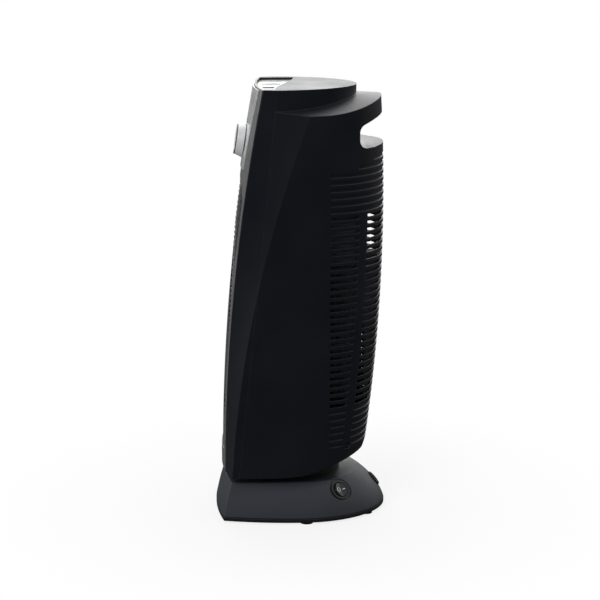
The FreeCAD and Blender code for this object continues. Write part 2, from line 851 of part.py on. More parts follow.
def base_section(height, front, corner, side, back):
    """Plan of the base at a height, drawn in from its lowest outline by four insets."""
    nose = V(0, front - s.base_front_depth, height)
    shoulder = V(s.base_corner_half_width - corner, corner - s.base_corner_depth, height)
    flank = V(s.base_half_width - side, 0, height)
    lean = flank.x - shoulder.x
    radius = (lean ** 2 + shoulder.y ** 2) / (2 * lean)
    turn = math.asin(-shoulder.y / radius) / 2
    belly = V(flank.x - radius * (1 - math.cos(turn)), -radius * math.sin(turn), height)
    left = [V(-point.x, point.y, height) for point in (shoulder, belly, flank)]
    return Part.Wire([
        Part.Arc(left[0], nose, shoulder).toShape(),
        Part.Arc(shoulder, belly, flank).toShape(),
        half_ellipse(V(0, 0, height), flank.x, s.base_back_depth - back),
        Part.Arc(left[2], left[1], left[0]).toShape(),
    ])


def base_form(inset, bottom, top):
    """Convex solid through three plans: the lowest outline, the waist and the top."""
    waist = s.base_mid_inset + inset
    return Part.makeLoft([
        base_section(bottom, inset, inset, inset, inset),
        base_section(s.base_mid_height, waist, waist, waist, s.base_mid_back_inset + inset),
        base_section(top, s.base_top_front_inset + inset, s.base_top_corner_inset + inset,
                     s.base_top_side_inset + inset, s.base_top_back_inset + inset),
    ], True)


cover_bottom = s.foot_height + s.base_plate_thickness
base_outer = base_form(0, cover_bottom, s.base_top_height)


def switch_frame():
    """Place of the switch: where a line along X leaves the base, with local Z along the surface's normal."""
    probe = Part.makeLine(V(0, s.switch_back, s.switch_height),
                          V(s.base_half_width + s.overrun, s.switch_back, s.switch_height))
    for face in base_outer.Faces:
        gap, points, _ = face.distToShape(probe)
        if gap < s.fit_gap and points[0][0].x > 0:
            spot = points[0][0]
            normal = face.normalAt(*face.Surface.parameter(spot))
    along = Z_AXIS.cross(normal).normalize()
    turn = FreeCAD.Rotation(along, normal.cross(along), normal, "ZXY")
    return FreeCAD.Placement(spot, turn)


switch_place = switch_frame()
gland_probe = Part.makeLine(V(0, 0, s.gland_height), V(0, s.base_back_depth, s.gland_height))
gland_seat = max(vertex.Y for vertex in base_outer.common(gland_probe).Vertexes)


def on_switch(shape):
    shape.Placement = switch_place.multiply(shape.Placement)
    return shape


def base_boss_places():
    front = [(x, -s.base_boss_front_y) for x in both_sides(s.base_boss_front_x)]
    return front + [(x, s.base_boss_back_y) for x in both_sides(s.base_boss_back_x)]


def base_cover():
    """Sloped shell with the switch recess, the cord inlet and the bore of the turntable bush."""
    hollow = base_form(s.base_wall, cover_bottom, s.base_top_height - s.base_wall)
    shell = base_outer.cut(hollow)
    boss_reach = s.switch_recess_depth + s.switch_boss_length
    thick = [on_switch(Part.makeCylinder(s.switch_recess_radius + s.switch_boss_margin, boss_reach,
                                         V(0, 0, -boss_reach)))]
    thick += [upright(x, y, cover_bottom, s.base_top_height, s.base_boss_radius)
              for x, y in base_boss_places()]
    thick.append(along_depth(0, s.gland_height, gland_seat - s.gland_boss_length, s.base_back_depth,
                             s.gland_flange_radius + s.gland_boss_margin))
    within = base_form(s.base_wall / 2, cover_bottom, s.base_top_height - s.base_wall / 2)
    shell = shell.fuse([solid.common(within) for solid in thick])
    recess = on_switch(Part.makeCylinder(s.switch_recess_radius, s.overrun, V(0, 0, -s.switch_recess_depth)))
    hole = on_switch(Part.makeCylinder(s.switch_body_radius + s.fit_gap, s.overrun, V(0, 0, -s.overrun)))
    tools = [recess, hole]
    tools.append(upright(0, 0, 0, s.base_top_height + s.overrun, s.bush_sleeve_radius + s.fit_gap))
    tools.append(along_depth(0, s.gland_height, 0, s.base_back_depth, s.gland_radius + s.fit_gap))
    tools.append(along_depth(0, s.gland_height, gland_seat, s.base_back_depth,
                             s.gland_flange_radius + s.part_gap))
    tools += [upright(x, y, cover_bottom, cover_bottom + s.screw_length, s.screw_radius + s.fit_gap)
              for x, y in base_boss_places()]
    return shell.cut(tools)


def base_plate():
    """Flat plate with sunk holes for its screws."""
    plate = Part.Face(base_section(s.foot_height, 0, 0, 0, 0)).extrude(Z_AXIS * s.base_plate_thickness)
    tools = []
    for x, y in base_boss_places():
        tools.append(upright(x, y, 0, cover_bottom, s.screw_radius + s.fit_gap))
        tools.append(upright(x, y, 0, s.foot_height + s.screw_head_height + s.part_gap, HEAD_ROOM))
    return plate.cut(tools)


piece("base_cover", feature("base_cover", base_cover()))
piece("base_plate", feature("base_plate", base_plate()))

feet = []
for sign in ("", "-"):
    for index, (x, y) in enumerate((("(base_half_width - foot_side_inset)", "foot_side_back"),
                                    ("foot_back_half_spread", "foot_back_depth"),
                                    ("foot_front_half_spread", "-foot_front_depth"))):
        side_name = "left" if sign else "right"
        feet.append(cylinder(f"foot_{side_name}_{index}", "foot_radius", "foot_height", sign + x, y))
piece("rubber_feet", group("rubber_feet", *feet))


# Fasteners

def screw(name, x, y, z, axis=Z_AXIS, angle=0):
    """Screw with its head's seat at the given point and its shank along local Z."""
    head = cylinder(name + "_head", "screw_head_radius", "screw_head_height", z="-screw_head_height")
    shank = cylinder(name + "_shank", "screw_radius", "screw_length")
    whole = fuse(name, head, shank)
    whole.Placement = FreeCAD.Placement(V(x, y, z), FreeCAD.Rotation(axis, angle))
    return whole


seat_height = s.foot_height + s.screw_head_height + s.part_gap
piece("base_screws", group("base_screws", *[screw(f"base_screw_{index}", x, y, seat_height)
                                            for index, (x, y) in enumerate(base_boss_places())]))
piece("casing_screws", group("casing_screws", *[
    screw(f"casing_screw_{row}_{side}", x, screw_seat(height), height, X_AXIS, 90)
    for row, (place_x, height) in enumerate(SCREW_PLACES)
    for side, x in enumerate(both_sides(place_x))]))


def hub_screw(name, x, y):
    """Short screw, head up, from the hub's flange into the floor of the tower."""
    head = cylinder(name + "_head", "screw_head_radius", "screw_head_height",
                    z="tower_bottom + wall + hub_flange_thickness")
    shank = cylinder(name + "_shank", "screw_radius", "hub_flange_thickness + wall - part_gap",
                     z="tower_bottom + part_gap")
    whole = fuse(name, head, shank)
    whole.Placement = FreeCAD.Placement(V(x, y, 0), FreeCAD.Rotation())
    return whole


piece("hub_screws", group("hub_screws", *[hub_screw(f"hub_screw_{index}", x, y)
                                          for index, (x, y) in enumerate(hub_screw_places())]))

# Turntable between base and tower

hub_top = "tower_bottom + wall + hub_flange_thickness"
hub = turned("turntable_hub",
             ("hub_tube_bore", "arm_bottom"), ("hub_tube_radius", "arm_bottom"),
             ("hub_tube_radius", "tower_bottom + wall"), ("hub_flange_radius", "tower_bottom + wall"),
             ("hub_flange_radius", hub_top), ("hub_tube_bore", hub_top))
hub_turn = 180 / SCREWS_PER_FLANGE
hub_angles = [hub_turn * (2 * index + 1) for index in range(SCREWS_PER_FLANGE)]
drill(hub, "hub_holes", hub_top, *[
    (f"hub_screw_ring * cos({angle})", f"hub_screw_ring * sin({angle})", "screw_radius + fit_gap")
    for angle in hub_angles])
piece("turntable_hub", hub)

bush_bore = "hub_tube_radius + run_gap"
bush_bottom = "base_top_height - base_wall"
piece("pivot_bush", turned(
    "pivot_bush", (bush_bore, bush_bottom), ("bush_sleeve_radius", bush_bottom),
    ("bush_sleeve_radius", "base_top_height"), ("bush_flange_radius", "base_top_height"),
    ("bush_flange_radius", "tower_bottom - part_gap"), (bush_bore, "tower_bottom - part_gap")))

slot_half = "(pin_radius + pin_play)"
slot_far = "crank_centre + crank_throw"
slot_near = "sqrt(crank_centre ^ 2 - crank_throw ^ 2)"
slot_run = f"({slot_far} - {slot_near})"
arm = fuse("arm_solid",
           cylinder("arm_collar", "arm_hub_radius", f"{bush_bottom} - part_gap - arm_bottom", z="arm_bottom"),
           box("arm_bar", "2 * arm_half_width", slot_far, "arm_thickness", "-arm_half_width",
               z="arm_bottom"),
           cylinder("arm_tip", "arm_half_width", "arm_thickness", "0", slot_far, "arm_bottom"))
piece("oscillation_arm", cut(
    "oscillation_arm", arm,
    cylinder("arm_bore", "hub_tube_radius + fit_gap", "base_top_height", z="0"),
    box("arm_slot", f"2 * {slot_half}", slot_run, "base_top_height", f"-{slot_half}", slot_near),
    cylinder("arm_slot_near", slot_half, "base_top_height", "0", slot_near),
    cylinder("arm_slot_far", slot_half, "base_top_height", "0", slot_far)))

crank_bottom = "(arm_bottom - crank_gap - crank_thickness)"
crank_radius = "(crank_throw + crank_margin)"
gearmotor_top = f"({crank_bottom} - gearmotor_gap)"
shaft_bottom = "(foot_height + base_plate_thickness + gearmotor_floor)"
crank = turned("crank_disc", ("0", shaft_bottom), ("crank_shaft_radius", shaft_bottom),
               ("crank_shaft_radius", crank_bottom), (crank_radius, crank_bottom),
               (crank_radius, f"{crank_bottom} + crank_thickness"),
               ("0", f"{crank_bottom} + crank_thickness"))
drill(crank, "crank_hole", "arm_bottom", ("0", "crank_throw", "pin_radius + fit_gap"))
piece("crank_disc", place(crank, y="crank_centre"))
pin_length = "crank_thickness + crank_gap + arm_thickness + pin_proud"
piece("crank_pin", cylinder("crank_pin", "pin_radius", pin_length, "0", slot_far, crank_bottom))

motor_floor = "(foot_height + base_plate_thickness)"
ears = box("gearmotor_ears", "2 * (gearmotor_radius + gearmotor_ear)", "2 * gearmotor_ear",
           "gearmotor_ear_thickness", "-gearmotor_radius - gearmotor_ear", "crank_centre - gearmotor_ear",
           motor_floor)
can = cylinder("gearmotor_can", "gearmotor_radius", f"{gearmotor_top} - {motor_floor}", "0", "crank_centre",
               motor_floor)
piece("oscillation_motor", cut(
    "oscillation_motor", fuse("gearmotor_solid", can, ears),
    cylinder("gearmotor_bore", "crank_shaft_radius + run_gap", "base_top_height", "0", "crank_centre",
             f"{shaft_bottom} - part_gap")))

# Rocker switch

bezel_top = "(switch_bezel_height - switch_recess_depth)"
switch_body = turned(
    "switch_body", ("0", "-switch_recess_depth - switch_body_length"),
    ("switch_body_radius", "-switch_recess_depth - switch_body_length"),
    ("switch_body_radius", "-switch_recess_depth"), ("switch_bezel_radius", "-switch_recess_depth"),
    ("switch_bezel_radius", bezel_top), ("switch_pocket_radius", bezel_top),
    ("switch_pocket_radius", f"{bezel_top} - switch_pocket_depth"),
    ("0", f"{bezel_top} - switch_pocket_depth"))
switch_body.Placement = switch_place
piece("switch_body", switch_body)


def power_rocker():
    """Ball cut to a shallow valley on top, tipped so that its rear half is pressed in."""
    ball = Part.makeSphere(s.rocker_radius)
    rise = s.rocker_radius * math.tan(math.radians(s.rocker_tilt))
    side = s.rocker_radius
    outline = polygon(V(-side, -side, -s.rocker_skirt), V(side, -side, -s.rocker_skirt),
                      V(side, -side, s.rocker_crown + rise), V(0, -side, s.rocker_crown),
                      V(-side, -side, s.rocker_crown + rise))
    rocker = ball.common(prism(outline, Y_AXIS * (2 * side)))
    rocker.rotate(V(), Y_AXIS, s.rocker_tilt)
    centre = s.switch_bezel_height - s.switch_recess_depth - s.rocker_crown
    return on_switch(Part.Compound([rocker.translated(Z_AXIS * centre)])).Solids[0]


piece("power_rocker", feature("power_rocker", power_rocker()))

# Cord inlet and terminals

gland = turned("cord_gland", ("gland_bore", "-gland_length"), ("gland_radius", "-gland_length"),
               ("gland_radius", "0"), ("gland_flange_radius", "0"),
               ("gland_flange_radius", "gland_flange_thickness"), ("gland_bore", "gland_flange_thickness"))
gland.Placement = FreeCAD.Placement(V(0, gland_seat, s.gland_height), FreeCAD.Rotation(X_AXIS, -90))
piece("cord_gland", gland)

wells = [cylinder(f"terminal_well_{index}", "terminal_well", "terminal_height",
                  f"-terminal_x + {place_share} * terminal_length", "-terminal_y",
                  f"{motor_floor} + terminal_height - terminal_well_depth")
         for index, place_share in enumerate(WELL_SHARES)]
terminal_solid = box("terminal_solid", "terminal_length", "terminal_width", "terminal_height",
                     "-terminal_x - terminal_length / 2", "-terminal_y - terminal_width / 2", motor_floor)
piece("terminal_block", cut("terminal_block", terminal_solid, *wells))

# Blower

plate_hole = {"fan_bottom_plate": "motor_boss_radius + fit_gap", "fan_top_plate": "bearing_radius + fit_gap"}
for name, bottom in (("fan_bottom_plate", "fan_plate_bottom"), ("fan_top_plate", "fan_plate_top")):
    tray = box(name + "_tray", "2 * fan_plate_half_width", "fan_plate_front + fan_centre",
               "fan_plate_thickness", "-fan_plate_half_width", "-fan_plate_front", bottom)
    lobe = cylinder(name + "_lobe", "scroll_radius + scroll_thickness + fan_plate_margin",
                    "fan_plate_thickness", "0", "fan_centre", bottom)
    hole = cylinder(name + "_hole", plate_hole[name], "2 * overrun", "0", "fan_centre", f"{bottom} - overrun")
    piece(name, cut(name, fuse(name + "_sheet", tray, lobe), hole))

duct_bottom = "(fan_plate_bottom + fan_plate_thickness)"
duct_height = f"(fan_plate_top - {duct_bottom})"
scroll_ring = cut("scroll_ring",
                  cylinder("scroll_outside", "scroll_radius + scroll_thickness", duct_height, "0",
                           "fan_centre", duct_bottom, angle="180 - scroll_arc", sweep="scroll_arc"),
                  cylinder("scroll_inside", "scroll_radius", duct_height, "0", "fan_centre", duct_bottom))
scroll_wall = box("scroll_wall", "scroll_thickness", "fan_centre + heater_back", duct_height,
                  "-scroll_radius - scroll_thickness", "-heater_back", duct_bottom)
piece("scroll_guide", fuse("scroll_guide", scroll_ring, scroll_wall))
tongue_wall = box("tongue_wall", "scroll_thickness", "tongue_back + heater_back", duct_height,
                  "scroll_radius", "-heater_back", duct_bottom)
tongue_nose = cylinder("tongue_nose", "tongue_nose_radius", duct_height, "scroll_radius", "tongue_back",
                       duct_bottom)
piece("scroll_tongue", fuse("scroll_tongue", tongue_wall, tongue_nose))

motor = turned("fan_motor", ("shaft_radius + run_gap", "-motor_length"),
               ("motor_cap_radius", "-motor_length"),
               ("motor_cap_radius", "motor_cap_length - motor_length"),
               ("motor_radius", "motor_cap_length - motor_length"), ("motor_radius", "0"),
               ("motor_boss_radius", "0"), ("motor_boss_radius", "fan_plate_thickness"),
               ("shaft_radius + run_gap", "fan_plate_thickness"))
piece("fan_motor", place(motor, y="fan_centre", z="fan_plate_bottom"))

bearing = turned("shaft_bearing", ("shaft_radius + run_gap", "0"), ("bearing_radius", "0"),
                 ("bearing_radius", "fan_plate_thickness"), ("bearing_flange_radius", "fan_plate_thickness"),
                 ("bearing_flange_radius", "fan_plate_thickness * 2"), ("bearing_radius", "bearing_length"),
                 ("shaft_radius + run_gap", "bearing_length"))
piece("shaft_bearing", place(bearing, y="fan_centre", z="fan_plate_top"))

piece("fan_shaft", cylinder("fan_shaft", "shaft_radius", "motor_length + fan_plate_top - fan_plate_bottom"
                            " + bearing_length", "0", "fan_centre", "fan_plate_bottom - motor_length"))


def impeller():
    """Cross-flow drum: end and middle discs with slanted blades round the rim."""
    bottom = s.fan_plate_bottom + s.fan_plate_thickness + s.fan_gap
    top = s.fan_plate_top - s.fan_gap
    length = top - bottom
    discs = [Part.makeCylinder(s.impeller_radius, s.impeller_disc,
                               V(0, 0, place_share * (length - s.impeller_disc)))
             for place_share in DISC_SHARES]
    blade = Part.makeBox(s.blade_depth, s.blade_thickness, length,
                         V(-s.blade_depth, -s.blade_thickness / 2, 0))
    blade.rotate(V(), Z_AXIS, s.blade_angle)
    blade.translate(X_AXIS * (s.impeller_radius - s.blade_thickness))
    blades = []
    for index in range(BLADES):
        turned_blade = blade.copy()
        turned_blade.rotate(V(), Z_AXIS, 360 * index / BLADES)
        blades.append(turned_blade)
    drum = discs[0].fuse(discs[1:] + blades)
    drum = drum.cut(Part.makeCylinder(s.shaft_radius + s.fit_gap, length))
    return drum.translated(V(0, s.fan_centre, bottom))


piece("impeller", feature("impeller", impeller()))

# Ceramic element

heater_front = "(heater_back + heater_depth)"
frame_solid = box("heater_solid", "2 * heater_half_width", "heater_depth", duct_height, "-heater_half_width",
                  f"-{heater_front}", duct_bottom)
frame_opening = box("heater_opening", "2 * (heater_half_width - heater_border)", "heater_depth",
                    f"{duct_height} - 2 * heater_border", "heater_border - heater_half_width",
                    f"-{heater_front}", f"{duct_bottom} + heater_border")
piece("heater_frame", cut("heater_frame", frame_solid, frame_opening))


def heater_core():
    """Block of upright bars with thin fins between them, held in the frame's opening."""
    bottom = s.fan_plate_bottom + s.fan_plate_thickness + s.heater_border + s.fit_gap
    top = s.fan_plate_top - s.heater_border - s.fit_gap
    half = s.heater_half_width - s.heater_border - s.fit_gap
    front = -s.heater_back - (s.heater_depth + s.heater_core_depth) / 2
    block = Part.makeBox(2 * half, s.heater_core_depth, top - bottom, V(-half, front, bottom))
    column = (2 * half - s.heater_bar * (HEATER_COLUMNS + 1)) / HEATER_COLUMNS
    gaps = []
    for index in range(int((top - bottom - s.heater_fin_thickness) / s.heater_fin_pitch)):
        height = bottom + s.heater_fin_thickness + s.heater_fin_pitch * index
        for place_index in range(HEATER_COLUMNS):
            x = -half + s.heater_bar + (column + s.heater_bar) * place_index
            gaps.append(Part.makeBox(column, s.heater_core_depth,
                                     s.heater_fin_pitch - s.heater_fin_thickness, V(x, front, height)))
    return block.cut(Part.makeCompound(gaps))


piece("heater_core", feature("heater_core", heater_core()))
cutout_seat = "fan_plate_top + fan_plate_thickness"
cutout = turned("thermal_cutout", ("0", "0"), ("cutout_radius", "0"), ("cutout_radius", "cutout_base"),
                ("cutout_radius - cutout_base", "cutout_height"), ("0", "cutout_height"))
piece("thermal_cutout", place(cutout, y=f"-{heater_front} + heater_depth / 2", z=cutout_seat))

# Thermostat and knob, on an axis square to the leaning plate

panel_lean = "atan((knob_height - tower_bottom) / front_radius)"
panel_depth = "(-front_depth + (knob_height - tower_bottom) ^ 2 / (2 * front_radius))"


def on_panel(obj, out="0"):
    """Stand an object on the fascia's outer skin at the knob, its local Z pointing out of it."""
    return place(obj, "0", f"{panel_depth} - cos({panel_lean}) * {out}",
                 f"knob_height + sin({panel_lean}) * {out}", X_AXIS, f"90 deg - {panel_lean}")


bow_drop = "((thermostat_width / 2) ^ 2 / front_bow_radius)"
body_front = f"(-wall - {bow_drop})"
thermostat = fuse(
    "thermostat_solid",
    box("thermostat_case", "thermostat_width", "thermostat_width", "thermostat_length",
        "-thermostat_width / 2", "-thermostat_width / 2", f"{body_front} - thermostat_length"),
    cylinder("thermostat_bush", "thermostat_bush_radius", f"plate_thickness - {body_front}", z=body_front))
thermostat_bore = cylinder("thermostat_bore", "spindle_radius + run_gap", "2 * thermostat_length",
                           z=f"{body_front} - thermostat_length / 2")
piece("thermostat_body", on_panel(cut("thermostat_body", thermostat, thermostat_bore)))

knob_seat = "(plate_thickness + part_gap)"
knob_front = f"({knob_seat} + knob_length)"
spindle_bottom = f"({body_front} - thermostat_length / 2 + part_gap)"
spindle = cylinder("thermostat_spindle", "spindle_radius",
                   f"{knob_seat} + knob_grip_length - {spindle_bottom}")
piece("thermostat_spindle", on_panel(spindle, spindle_bottom))

knob = turned("thermostat_knob", ("spindle_radius + fit_gap", knob_seat), ("knob_base_radius", knob_seat),
              ("knob_front_radius", f"{knob_front} - knob_rim_round"),
              ("knob_front_radius - knob_rim_round", knob_front), ("knob_dish_radius", knob_front),
              ("knob_dish_radius - knob_rim_round", f"{knob_front} - knob_dish_depth"),
              ("0", f"{knob_front} - knob_dish_depth"), ("0", f"{knob_seat} + knob_grip_length + fit_gap"),
              ("spindle_radius + fit_gap", f"{knob_seat} + knob_grip_length + fit_gap"))
piece("thermostat_knob", on_panel(knob))

# Cover over the controls, with a duct for the wires behind the scroll

def control_box():
    """Box that stands on the upper plate, open below, with a channel down the inside of the back."""
    seat = s.fan_plate_top + s.fan_plate_thickness
    span, height = s.control_back + s.control_front, s.control_top_height - seat
    inner = s.control_half_width - s.control_wall
    cover = Part.makeBox(2 * s.control_half_width, span, height,
                         V(-s.control_half_width, -s.control_front, seat))
    hollow = Part.makeBox(2 * inner, span - 2 * s.control_wall, height - s.control_wall,
                          V(-inner, s.control_wall - s.control_front, seat))
    front = s.fan_centre + s.scroll_radius + s.scroll_thickness + s.part_gap
    tail = seat + s.duct_lap - s.duct_bottom_height
    duct = Part.makeBox(2 * s.duct_half_width, s.back_depth, tail,
                        V(-s.duct_half_width, front, s.duct_bottom_height))
    skin = form(s.wall + s.part_gap)
    inner = s.duct_half_width - s.control_wall
    channel = Part.makeBox(2 * inner, s.back_depth, tail - s.control_wall, V(-inner, 0, s.duct_bottom_height))
    channel = channel.common(form(s.wall + s.part_gap + s.control_wall))
    lobe = upright(0, s.fan_centre, s.fan_plate_top - s.part_gap, seat, s.scroll_radius + s.scroll_thickness
                   + s.fan_plate_margin + s.part_gap)
    bridge = Part.makeBox(2 * s.duct_half_width, front - s.control_back + s.control_wall, s.duct_lap,
                          V(-s.duct_half_width, s.control_back - s.control_wall, seat))
    return cover.cut(hollow).fuse([duct.common(skin).cut([channel, lobe]), bridge])


piece("control_box", feature("control_box", control_box()))

# Tip-over switch on the floor of the tower

tilt_bottom = "(tower_bottom + wall)"
tilt_case = box("tilt_case", "tilt_width", "tilt_depth", "tilt_height", "-tilt_width / 2",
                "-tilt_centre - tilt_depth / 2", tilt_bottom)
tilt_cap = box("tilt_cap", "tilt_width - 2 * tilt_cap_inset", "tilt_depth - 2 * tilt_cap_inset",
               "tilt_cap_height", "tilt_cap_inset - tilt_width / 2",
               "-tilt_centre - tilt_depth / 2 + tilt_cap_inset", f"{tilt_bottom} + tilt_height")
piece("tilt_switch", fuse("tilt_switch", tilt_case, tilt_cap))

# Check and write the pieces

doc.recompute()
for obj in doc.Objects:
    if "Invalid" in obj.State or "Error" in obj.State:
        raise RuntimeError(f"{obj.Label} failed to build: {obj.State}")
for obj in pieces:
    if obj.Shape.isNull() or not obj.Shape.isValid():
        raise RuntimeError(f"{obj.Label} has no valid shape")
os.makedirs("parts", exist_ok=True)
for obj in pieces:
    obj.Shape.exportStep(os.path.join("parts", obj.Label + ".step"))
    print(obj.Label, len(obj.Shape.Solids), "solids", round(obj.Shape.Volume / 1000, 2), "cm3")
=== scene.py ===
"""Finish of an oscillating tower heater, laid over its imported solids."""

import json
import math

import bmesh
import bpy
import numpy as np
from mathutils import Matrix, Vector


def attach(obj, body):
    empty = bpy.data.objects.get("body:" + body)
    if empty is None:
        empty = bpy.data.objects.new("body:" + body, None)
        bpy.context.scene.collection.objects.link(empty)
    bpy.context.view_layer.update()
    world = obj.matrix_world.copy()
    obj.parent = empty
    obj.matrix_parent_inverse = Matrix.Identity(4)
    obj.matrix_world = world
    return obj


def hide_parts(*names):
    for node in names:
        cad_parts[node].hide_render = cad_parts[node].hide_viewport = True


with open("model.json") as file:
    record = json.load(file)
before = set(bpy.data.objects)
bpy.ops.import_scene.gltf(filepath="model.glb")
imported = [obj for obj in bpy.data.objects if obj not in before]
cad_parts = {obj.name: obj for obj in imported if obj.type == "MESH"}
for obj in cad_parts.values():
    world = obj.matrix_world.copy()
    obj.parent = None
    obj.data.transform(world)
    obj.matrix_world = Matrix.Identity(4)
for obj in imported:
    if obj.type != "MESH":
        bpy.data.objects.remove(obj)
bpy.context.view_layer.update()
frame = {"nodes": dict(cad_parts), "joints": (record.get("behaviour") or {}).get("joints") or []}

bl_info = {
    "name": "Tower heater finish",
    "version": (1, 0, 0),
    "blender": (4, 5, 0),
    "location": "3D View > Sidebar > Heater",
    "description": "Marks, trims, finishes and studio of a tower heater",
    "category": "Object",
}

MM = 0.001
SIDE, BACK, UP = np.eye(3)
JOINTS = {joint["name"]: joint for joint in frame["joints"]}

# Shares and counts of the marks and trims

DIAL_MARKS = 11
O_STROKE = 0.8  # stroke of the O against that of the I, whose ends are rounded off
RIM_SINK = 0.9  # share of its half width by which the rim line lies inside the knob's edge
GLAND_STRETCH = 1.25  # length of the oval bead over its width
PRINT_EDGE = 0.5 * MM  # width over which one colour gives way to the next

# What all finishes share

GLOSS_NOISE = (0.3, 0.7)  # values of the smudges between which the gloss wanders
TONE_NOISE = (0.25, 0.75)  # values of the smudges between which the colour wanders
TONE_REACH = 0.07  # share by which the colour wanders to each side
WEAR = (0.98, 0.80)  # cosine of an edge's turn at which wear begins, and at which it is full
BEVEL_SAMPLES = 6

# Studio, in metres, watts and degrees

FLOOR_REACH, FLOOR_RINGS, FLOOR_SIDES = 0.55, 9, 64
FLOOR_GLOSS = 0.05  # grey that the gloss sees in place of the floor
FADE = (0.08, 0.9 * FLOOR_REACH)  # distances between which the floor fades to white for the eye
FADE_LEAST = 0.82  # share of white under the object
AMBIENT = 0.45  # light of the surroundings on matt surfaces
BRIGHT_WAY = (-0.94, 0.0, 0.34)  # direction in which the gloss sees the room at its brightest
ROOM_TURN = (-0.35, 0.6)  # cosines to that direction between which the room brightens
ROOM_DIM = 0.25  # level of the room before the object
HORIZON = (-0.06, 0.16)  # rises of a mirrored ray between which the room comes up
BELOW_DIM = 0.08  # share of the room's level that is left below the horizon
CAMERA_TURN, CAMERA_RISE, CAMERA_DISTANCE = 87, 13, 2.6
CAMERA_AIM = 0.2662  # height of the picture's middle on the object's axis
CAMERA_HALF_VIEW = 0.378  # half of the picture's width at that place
SOFTBOXES = (
    # Name, place, aim, width, height, power, and whether the gloss mirrors it
    ("overhead", (-0.9, 0.1, 2.1), (0, 0, 0.3), 1.0, 1.0, 5, True),
    ("key", (2.2, -1.5, 1.9), (0, 0, 0.25), 1.5, 1.5, 60, False),
    ("behind", (-2.1, 0.1, 1.3), (0, 0, 0.45), 2.8, 1.8, 27, True),
)


def linear(hex_colour):
    """Turn an sRGB hex colour into linear red, green and blue."""
    srgb = np.array([int(hex_colour[place:place + 2], 16) for place in (1, 3, 5)]) / 255
    return tuple(np.where(srgb <= 0.04045, srgb / 12.92, ((srgb + 0.055) / 1.055) ** 2.4).tolist())


def colour(label, hint, hex_colour):
    """Declare a colour that a user may change."""
    return bpy.props.FloatVectorProperty(name=label, description=hint, subtype="COLOR", min=0, max=1,
                                         default=linear(hex_colour))


def length(label, hint, millimetres):
    """Declare a length that a user may change."""
    return bpy.props.FloatProperty(name=label, description=hint, default=millimetres * MM, min=0,
                                   unit="LENGTH", subtype="DISTANCE")


def angle(label, hint, degrees):
    """Declare an angle that a user may change."""
    return bpy.props.FloatProperty(name=label, description=hint, default=math.radians(degrees),
                                   unit="ROTATION", subtype="ANGLE")


class HeaterColours(bpy.types.PropertyGroup):
    """Colours of the heater's finishes."""

    casing: colour("Casing", "Black of the two casings", "#0b0e16")
    base: colour("Base", "Charcoal of the base cover", "#2b2e35")
    under: colour("Underside", "Black of the bottom plate, the turntable and the base's rim", "#101114")
    fascia: colour("Fascia", "Grey lacquer round the outlet", "#6d6e6d")
    plate: colour("Control plate", "Bright silver lacquer of the plate and the ridges", "#d9dadb")
    knob: colour("Knob", "Silver lacquer of the knob", "#d2d3d4")
    inlay: colour("Top inlay", "White of the inset panel", "#e8e8e6")
    border: colour("Inlay border", "Dark print on the switch side of the inset panel", "#33363c")
    grille: colour("Grille", "Black of the louvres", "#121315")
    rubber: colour("Rubber", "Black of the feet and the cord inlet", "#0d0d0e")
    rocker: colour("Rocker", "Black of the switch", "#0f1012")
    mark: colour("Marks", "Pale ink of the switch marks", "#c9ccd0")
    # Also the colour of the dark ring round the knob's front edge.
    ink: colour("Dial ink", "Dark ink of the dial marks and the knob's lines", "#3a3b3d")
    steel: colour("Steel", "Zinc-plated screws and shafts", "#b4b6b8")
    # Painted light: lighter than the black paint, so that the shaded blower seen through the slots reads
    # dark grey.
    sheet: colour("Sheet", "Black paint of the blower's sheet steel", "#2a2b2e")
    # Painted light: lighter than the mouldings' own grey, so that the shaded inside seen through the slots
    # reads dark grey.
    hot: colour("Hot parts", "Dark grey moulding round the element and the controls", "#404246")
    fins: colour("Fins", "Aluminium fins of the element", "#c3c5c8")
    brass: colour("Brass", "Bearing and cut-out", "#b08d4a")
    phenolic: colour("Phenolic", "Brown moulding of the thermostat", "#3b2a20")
    nylon: colour("Nylon", "Off-white terminal block", "#d8d5cc")
    floor: colour("Floor", "Pale floor", "#e6e6e4")


